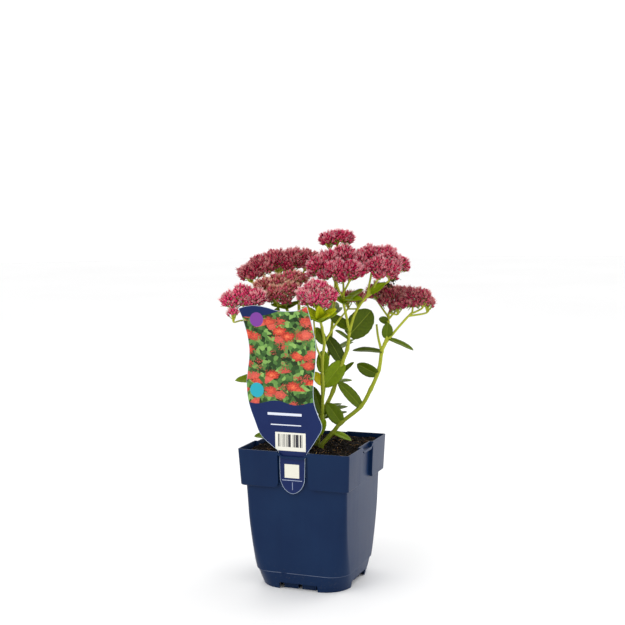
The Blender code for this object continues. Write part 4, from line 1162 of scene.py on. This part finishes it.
def add_leaf(form, root, tip, width, facing, shade):
    """A fleshy oval leaf: two skins that meet at a toothed edge, cupped along the rib."""
    grade, rim, tint = (form.verts.layers.float[key] for key in ("grade", "rim", "tint"))
    along = tip - root
    length = along.length
    along.normalize()
    side = along.cross(facing).normalized()
    face = side.cross(along).normalized()
    own = []
    for upper in (1.0, -1.0):
        sheet = bmesh.ops.create_grid(form, x_segments=LEAF_CELLS[0], y_segments=LEAF_CELLS[1],
                                      size=1.0)["verts"]
        for vertex in sheet:
            u, share = vertex.co.x, (vertex.co.y + 1.0) / 2.0
            half = leaf_half_width(width, share)
            blunt = math.sqrt(max(0.0, 1.0 - share ** LEAF_BLUNTNESS))
            thick = LEAF_THICKNESS / 2.0 * (1.0 - LEAF_THINNING * share) * (1.0 - u ** 4) * blunt
            rib = root + along * length * share - face * length * LEAF_DROOP * (share * share - share * 0.5)
            groove = LEAF_RIB * math.exp(-(u / LEAF_RIB_WIDTH) ** 2) * blunt * upper
            lift = half * 2.0 * LEAF_CUP * abs(u) ** 1.4 - groove
            flutter = noise.noise((rib + side * half * u) / LEAF_RIPPLE_SIZE)
            ripple = LEAF_RIPPLE * flutter * min(1.0, share * 3.0)
            vertex.co = rib + side * half * u + face * (lift + ripple + thick * upper)
            vertex[grade], vertex[rim], vertex[tint] = share, u, shade
        faces = {item for vertex in sheet for item in vertex.link_faces}
        for item in faces:
            item.material_index = 1 if upper > 0.0 else 2
        if faces and next(iter(faces)).normal.dot(face) * upper < 0.0:
            bmesh.ops.reverse_faces(form, faces=list(faces))
        own += sheet
    bmesh.ops.remove_doubles(form, verts=own, dist=0.01)
    own = [vertex for vertex in own if vertex.is_valid]
    open_edges = [edge for vertex in own for edge in vertex.link_edges if edge.is_boundary]
    bmesh.ops.holes_fill(form, edges=list(set(open_edges)))


def lobe_frame(head, lobe):
    """The middle of a lobe and the way it grows, leaning out from the middle of its head."""
    centre = seen(*lobe[:3])
    middle = sum((seen(*other[:3]) for other in HEADS[head]), Vector()) / len(HEADS[head])
    lean = (centre - middle) / LOBE_SPREAD
    lean.z = 1.0
    return centre, lean.normalized()


def lobe_base(head, lobe):
    """The middle of a lobe's underside."""
    centre, axis = lobe_frame(head, lobe)
    return centre + axis * LOBE_BASE * (lobe[3] - LOBE_MARGIN), axis


def cross_axes(axis):
    """Two directions square to an axis and to each other."""
    side = axis.orthogonal().normalized()
    return side, axis.cross(side).normalized()


def stem_route(stem):
    """A stem's main points, from its foot in the soil to its top."""
    foot = seen(*stem["root"], STEM_FOOT)
    collar = seen(*stem["root"], STEM_COLLAR)
    return [foot, collar, *(seen(*point) for point in stem["route"])]


def back_along(chain, distance):
    """The point of a chain that lies the distance back from its end."""
    for end, start in zip(reversed(chain), reversed(chain[:-1])):
        step = (end - start).length
        if distance <= step:
            return end.lerp(start, distance / step)
        distance -= step
    return chain[0]


def stations(chain, pitch):
    """Points along a chain, no further apart than the pitch."""
    spots = []
    for start, end in zip(chain, chain[1:]):
        count = max(1, math.ceil((end - start).length / pitch))
        spots += [start.lerp(end, i / count) for i in range(count)]
    return [*spots, chain[-1]]


def obstacles():
    """What a leaf must stay clear of: each stem's route and each lobe, as points with a reach."""
    found = []
    for name, stem in STEMS.items():
        spots = stations(stem_route(stem), STATION_PITCH)
        for _, start, points in stem["branches"]:
            chain = [seen(*stem["route"][start - 1]), *(seen(*point) for point in points)]
            spots += stations(chain, STATION_PITCH)
        found += [(spot, stem["radius"][0], name) for spot in spots]
    for head, lobes in HEADS.items():
        found += [(lobe_frame(head, lobe)[0], lobe[3] + LOBE_CLEARANCE, head) for lobe in lobes]
    return found


def leaf_spots(root, tip, width, facing):
    """Points along a leaf's rib and both its edges."""
    side = (tip - root).cross(facing).normalized()
    spots = []
    for share in LEAF_CHECKS:
        middle = root.lerp(tip, share)
        spots += [middle, middle + side * width * 0.45, middle - side * width * 0.45]
    return spots


def is_clear(spots, owner, taken):
    """Whether a leaf keeps clear of the label, the pot and other stems."""
    for spot in spots:
        if spot.y < LABEL_FACE_Y + LABEL_CLEARANCE or spot.z < POT_HEIGHT + 1.0:
            return False
        for centre, reach, other in taken:
            if other != owner and (spot - centre).length < reach + LEAF_CLEARANCE:
                return False
    return True


def plan_leaves():
    """List the leaves of each stem: those that are seen, then pairs by rule where there is room."""
    rng = random.Random(SEED)
    shades = random.Random(SEED + 2)
    taken = obstacles()
    plan = {name: [] for name in STEMS}
    for name, bracts in BRACTS.items():
        for root, tip, width, facing, shade in bracts:
            plan[name].append((seen(*root), seen(*tip), width, seen(*facing), shade / YELLOW))
    for name, leaves in LEAVES.items():
        for root, tip, width, facing, shade in leaves:
            spec = (seen(*root), seen(*tip), width, seen(*facing))
            plan[name].append((*spec, shade / YELLOW))
            taken += [(spot, LEAF_REACH, name) for spot in leaf_spots(*spec)]
    for name, heights in LEAF_PAIRS.items():
        route = stations(stem_route(STEMS[name]), STATION_PITCH)
        turn = rng.random() * FULL_TURN
        for height in heights:
            root = min(route, key=lambda spot: abs(spot.z - height))
            turn += math.pi / 2.0
            for opposite in (0.0, math.pi):
                length = rng.uniform(*PAIR_LENGTH)
                width = rng.uniform(*PAIR_WIDTH)
                rise = rng.uniform(*PAIR_RISE)
                for attempt in range(PAIR_TRIES):
                    angle = turn + opposite + attempt * GOLDEN_TURN * PAIR_TURN
                    way = Vector((math.cos(angle), math.sin(angle), rise)).normalized()
                    spec = (root, root + way * length, width, UP - way * PAIR_TILT)
                    spots = leaf_spots(*spec)
                    if is_clear(spots, name, taken):
                        plan[name].append((*spec, shades.uniform(*PAIR_SHADE)))
                        taken += [(spot, LEAF_REACH, name) for spot in spots]
                        break
    return plan


def head_stalks(head, chain, radius):
    """The branch to each lobe of a head and its fan of rays, as meshes."""
    made = []
    lobes = sorted(HEADS[head], key=lambda lobe: (lobe_frame(head, lobe)[0] - chain[-1]).length)
    for order, lobe in enumerate(lobes):
        base, axis = lobe_base(head, lobe)
        first, second = cross_axes(axis)
        fork = base - axis * RAY_RUN
        branch = smooth_route([back_along(chain, order * BRANCH_STEP), fork, base], SMOOTH_STEPS)
        made.append(tube(branch, (radius, BRANCH_END), BRANCH_RESOLUTION))
        for i in range(RAY_COUNT):
            angle = FULL_TURN * (i + 0.25) / RAY_COUNT
            out = first * math.cos(angle) + second * math.sin(angle)
            reach = RAY_REACH * (0.75 + 0.35 * (i % 3 - 1)) * (lobe[3] - LOBE_MARGIN)
            start = fork + axis * (i % 4) * RAY_STAGGER
            end = base + out * reach + axis * RAY_LIFT
            middle = start.lerp(end, 0.5) + out * reach * RAY_BOW
            made.append(tube([start, middle, end], RAY_RADII, 1))
    return made


def make_stem(name, leaves, materials):
    """One leafy stem: its stalk, forks, branches, rays and leaves, in one piece."""
    stem = STEMS[name]
    straight = stem_route(stem)
    route = [straight[0], *smooth_route(straight[1:], SMOOTH_STEPS)]
    stalks = [tube(route, stem["radius"], STEM_RESOLUTION, SMOOTH_STEPS)]
    roots = stations(straight, STATION_PITCH)
    for head, start, points in stem["branches"]:
        chain = route
        radius = stem["radius"][1] * BRANCH_SHARE
        if points:
            way_out = seen(*stem["route"][start - 1])
            chain = smooth_route([way_out, *(seen(*point) for point in points)], SMOOTH_STEPS)
            stalks.append(tube(chain, (radius, radius * BRANCH_TAPER), STEM_RESOLUTION))
            roots += stations(chain, STATION_PITCH)
        if head:
            stalks += head_stalks(head, chain, radius * BRANCH_TAPER)
    form = bmesh.new()
    for key in ("grade", "rim", "tint"):
        form.verts.layers.float.new(key)
    for mesh in stalks:
        form.from_mesh(mesh)
        bpy.data.meshes.remove(mesh)
    bmesh.ops.remove_doubles(form, verts=form.verts, dist=0.001)
    for root, tip, width, facing, shade in leaves:
        start = min(roots, key=lambda spot: (spot - root).length)
        add_leaf(form, start, tip, width, facing, shade)
    set_down(mesh_object("leafy_" + name, form), "stem_and_leaf", materials, name)


def graded(form, levels):
    """Give each point of a small shape its grade by a rule of its place."""
    layer = form.verts.layers.float.new("grade")
    for vertex in form.verts:
        vertex[layer] = levels(vertex.co)


def add_stalk(form):
    """The thin green stalk under a bud."""
    place = Matrix.Translation((0.0, 0.0, -2.4))
    bmesh.ops.create_cone(form, cap_ends=True, segments=4, radius1=0.24, radius2=0.34, depth=3.0,
                          matrix=place)


def ridge(point):
    """1 on the middle of one of five petals, -1 on the seam between two."""
    return math.cos(5.0 * math.atan2(point.y, point.x))


def closed_bud():
    """A ripe, closed bud: five swollen crimson petals drawn to a blunt point, with seams between."""
    form = bmesh.new()
    bmesh.ops.create_uvsphere(form, u_segments=10, v_segments=6, radius=1.0)
    graded(form, lambda co: 0.3 if co.z < -0.4 else
           0.52 + 0.34 * max(0.0, co.z) ** 3 + (0.06 if ridge(co) > 0.0 else -0.14))
    for vertex in form.verts:
        seam = 1.0 if ridge(vertex.co) > 0.0 else 0.78
        taper = 1.0 - 0.3 * max(0.0, vertex.co.z) ** 1.5
        vertex.co.x *= seam * taper
        vertex.co.y *= seam * taper
        vertex.co.z *= 1.9 if vertex.co.z > 0.0 else 1.2
    add_stalk(form)
    return template(form)


def floret(tilt, length):
    """A floret: five thin, pale, pointed petals that lean out by the tilt, round a crimson cone."""
    form = bmesh.new()
    for petal in range(5):
        blade = Matrix.Diagonal((0.3, 0.5, 1.0, 1.0)) @ Matrix.Translation((0.0, 0.0, length / 2.0))
        lean = Matrix.Rotation(petal * FULL_TURN / 5.0, 4, "Z") @ Matrix.Rotation(tilt, 4, "Y")
        foot = Matrix.Translation((0.35 * math.cos(petal * FULL_TURN / 5.0),
                                   0.35 * math.sin(petal * FULL_TURN / 5.0), -0.5))
        bmesh.ops.create_cone(form, cap_ends=True, segments=4, radius1=0.75, radius2=0.14, depth=length,
                              matrix=foot @ lean @ blade)
    graded(form, lambda co: 0.68 + 0.34 * min(1.0, max(0.0, co.z + 0.4) / length) ** 0.7)
    cone = Matrix.Translation((0.0, 0.0, 0.6))
    bmesh.ops.create_cone(form, cap_ends=True, segments=6, radius1=1.0, radius2=0.45, depth=2.2, matrix=cone)
    cup = Matrix.Translation((0.0, 0.0, -0.75))
    bmesh.ops.create_cone(form, cap_ends=True, segments=6, radius1=0.3, radius2=0.85, depth=0.8, matrix=cup)
    layer = form.verts.layers.float["grade"]
    for vertex in form.verts:
        if vertex[layer] == 0.0:
            vertex[layer] = 0.12 if vertex.co.z < -1.0 else 0.3 if vertex.co.z < 0.0 else 0.56
    add_stalk(form)
    return template(form)


def lobe_shade_core():
    """The middle of a lobe, under its buds, coloured dark as painted shade between them."""
    form = bmesh.new()
    bmesh.ops.create_icosphere(form, subdivisions=2, radius=1.0)
    # Painted shade: the deep colour on top and a darker olive underneath
    graded(form, lambda co: 0.26 if co.z > -0.3 else 0.14)
    return template(form)


def kept_inside(spot, way, reach):
    """Draw a bud in where its tip would stand out of the part's own size."""
    tip = spot + way * reach
    inside = [min(max(co, low / MM + BOX_MARGIN), high / MM - BOX_MARGIN)
              for co, low, high in zip(tip, *CAD_BOX)]
    return spot + Vector(inside) - tip


def all_lobes(head):
    """A head's lobes and the smaller clusters between them."""
    return (*HEADS[head], *SMALL_LOBES.get(head, ()))


def lobe_buds(head, lobe, shapes, rng):
    """The places of one lobe's buds, set over its dome by the golden turn, and of its core, a dark solid of
    painted shade.
    """
    centre, axis = lobe_frame(head, lobe)
    first, second = cross_axes(axis)
    radius = lobe[3] - LOBE_MARGIN
    others = [(lobe_frame(head, other)[0], (other[3] - LOBE_MARGIN) * LOBE_OVERLAP)
              for other in all_lobes(head) if other is not lobe]
    cap = 1.0 - math.cos(LOBE_LAST_POLAR)
    count = round(FULL_TURN * radius * radius * cap / BUD_PITCH ** 2)
    *blooms, core = shapes
    places = []
    for i in range(count):
        polar = math.acos(1.0 - cap * (i + 0.5) / count)
        turn = i * GOLDEN_TURN
        out = first * math.cos(turn) + second * math.sin(turn)
        normal = out * math.sin(polar) + axis * math.cos(polar)
        rise = LOBE_FLATNESS if polar < math.pi / 2.0 else LOBE_DEPTH
        dome = centre + (out * math.sin(polar) + axis * math.cos(polar) * rise) * radius
        lift = BUD_RELIEF * noise.noise(dome / BUD_RELIEF_SIZE) + rng.uniform(*BUD_JITTER)
        spot = dome + normal * lift
        sway = Vector([rng.gauss(0.0, BUD_SCATTER) for _ in range(3)])
        way = (normal + axis * BUD_LEAN + sway).normalized()
        size = rng.uniform(*BUD_SIZE)
        spot = kept_inside(spot, way, size * BUD_REACH)
        shape = rng.choices(blooms, BLOOM_SHARES)[0]
        tint = rng.random()
        if all((dome - place).length > reach for place, reach in others):
            places.append((shape, pointing(way, spot, (size,) * 3, rng.uniform(0.0, FULL_TURN)), tint))
    width = radius * CORE_SHARE
    places.append((core, pointing(axis, centre, (width, width, width * LOBE_FLATNESS)), CORE_TINT))
    return places


def make_heads():
    """Every flower head: buds and florets over each lobe's dome."""
    shapes = (closed_bud(), *(floret(tilt, length) for tilt, length in FLORETS), lobe_shade_core())
    looks = {}
    for order, head in enumerate(HEADS):
        rng = random.Random(SEED + 10 + order)
        places = [place for lobe in all_lobes(head) for place in lobe_buds(head, lobe, shapes, rng)]
        colours = HEAD_COLOURS[head]
        if colours not in looks:
            looks[colours] = stonecrop_bud("stonecrop_bud_" + str(len(looks) + 1), *colours)
        flower = scatter("flower_" + head, places)
        set_down(flower, "flower", [looks[colours]], head)


def withered_petals():
    """Dead florets: dry, shrivelled and matt, dark brown with olive remains."""
    made, shader, add = new_material("withered_petals")
    tint = add("Attribute", out="Fac", attribute_name="tint")
    place = add("TexCoord", out="Object")
    wrinkles = add("TexNoise", {"Vector": place, "Scale": 1.0 / (0.6 * MM), "Detail": 3.0})
    base = add("ValToRGB", (tint,), stops=((0.0, "#1C1A10"), (0.6, "#3A3420"), (1.0, "#5C5430")))
    relief = add("Bump", {"Height": wrinkles, "Distance": 0.2 * MM, "Strength": 0.6})
    wire(shader, {"Base Color": base, "Roughness": 0.9, "Specular IOR Level": 0.1, "Normal": relief})
    return made


def make_withered():
    """A few dead florets that cling under the right of the tallest heads."""
    rng = random.Random(SEED + 40)
    shape = closed_bud()
    places = []
    for across, behind, up, count in WITHERED:
        for _ in range(count):
            spot = seen(across, behind, up) + Vector([rng.gauss(0.0, WITHERED_SPREAD) for _ in range(3)])
            way = Vector([rng.gauss(0.0, 1.0) for _ in range(3)]).normalized()
            size = rng.uniform(*WITHERED_SIZE)
            squat = (size, size * 0.55, size * 0.9)
            places.append((shape, pointing(way, spot, squat, rng.uniform(0.0, FULL_TURN)), rng.random()))
    set_down(scatter("withered_florets", places), "flower", [withered_petals()])


def make_stage():
    """A plain pale floor, soft studio light from all round, and two large soft lights."""
    form = bmesh.new()
    bmesh.ops.create_circle(form, cap_ends=True, segments=64, radius=FLOOR_RADIUS)
    floor = mesh_object("studio_floor", form, False)
    made, shader, add = new_material("studio_floor")
    clouds = add("TexNoise", {"Vector": add("TexCoord", out="Object"), "Scale": 1.0 / 0.5, "Detail": 3.0})
    base = add("ValToRGB", (clouds,), stops=((0.0, "#F4F4F4"), (1.0, "#FAFAFA")))
    wire(shader, {"Base Color": base, "Roughness": 0.6})
    floor.data.materials.append(made)
    world = bpy.data.worlds.new("studio")
    world.use_nodes = True
    world.node_tree.nodes["Background"].inputs["Color"].default_value = (1.0, 1.0, 1.0, 1.0)
    world.node_tree.nodes["Background"].inputs["Strength"].default_value = SKY_STRENGTH
    bpy.context.scene.world = world
    for name, place, aim, size, power in LIGHTS:
        light = bpy.data.lights.new(name, "AREA")
        light.size = size
        light.energy = power
        lamp = bpy.data.objects.new(name, light)
        lamp.location = place
        lamp.rotation_euler = (Vector(aim) - Vector(place)).to_track_quat("-Z", "Y").to_euler()
        bpy.context.scene.collection.objects.link(lamp)


def make_camera():
    """The camera, set as the match to the pot's corners gave it."""
    data = bpy.data.cameras.new("camera")
    data.lens = CAMERA_LENS
    data.sensor_width = SENSOR_WIDTH
    data.clip_end = 50.0
    camera = bpy.data.objects.new("camera", data)
    turn = Matrix.Rotation(CAMERA_ROLL, 3, "Y") @ Matrix.Rotation(CAMERA_TILT, 3, "X")
    right, forward, up = turn @ Matrix.Rotation(CAMERA_TURN, 3, "Z")
    axes = Matrix((right, up, -forward)).transposed()
    camera.matrix_world = Matrix.Translation(CAMERA_PLACE) @ axes.to_4x4()
    bpy.context.scene.collection.objects.link(camera)
    bpy.context.scene.camera = camera


def main():
    """Build every piece."""
    make_camera()
    make_stage()
    make_pot()
    peat = damp_peat()
    make_soil(peat)
    make_crumbs(peat)
    make_straw()
    make_label()
    greens = [stonecrop_stem(), leaf_upper(), leaf_under()]
    for name, leaves in plan_leaves().items():
        make_stem(name, leaves, greens)
    make_heads()
    make_withered()
    bpy.context.scene.view_settings.view_transform = "Standard"


main()
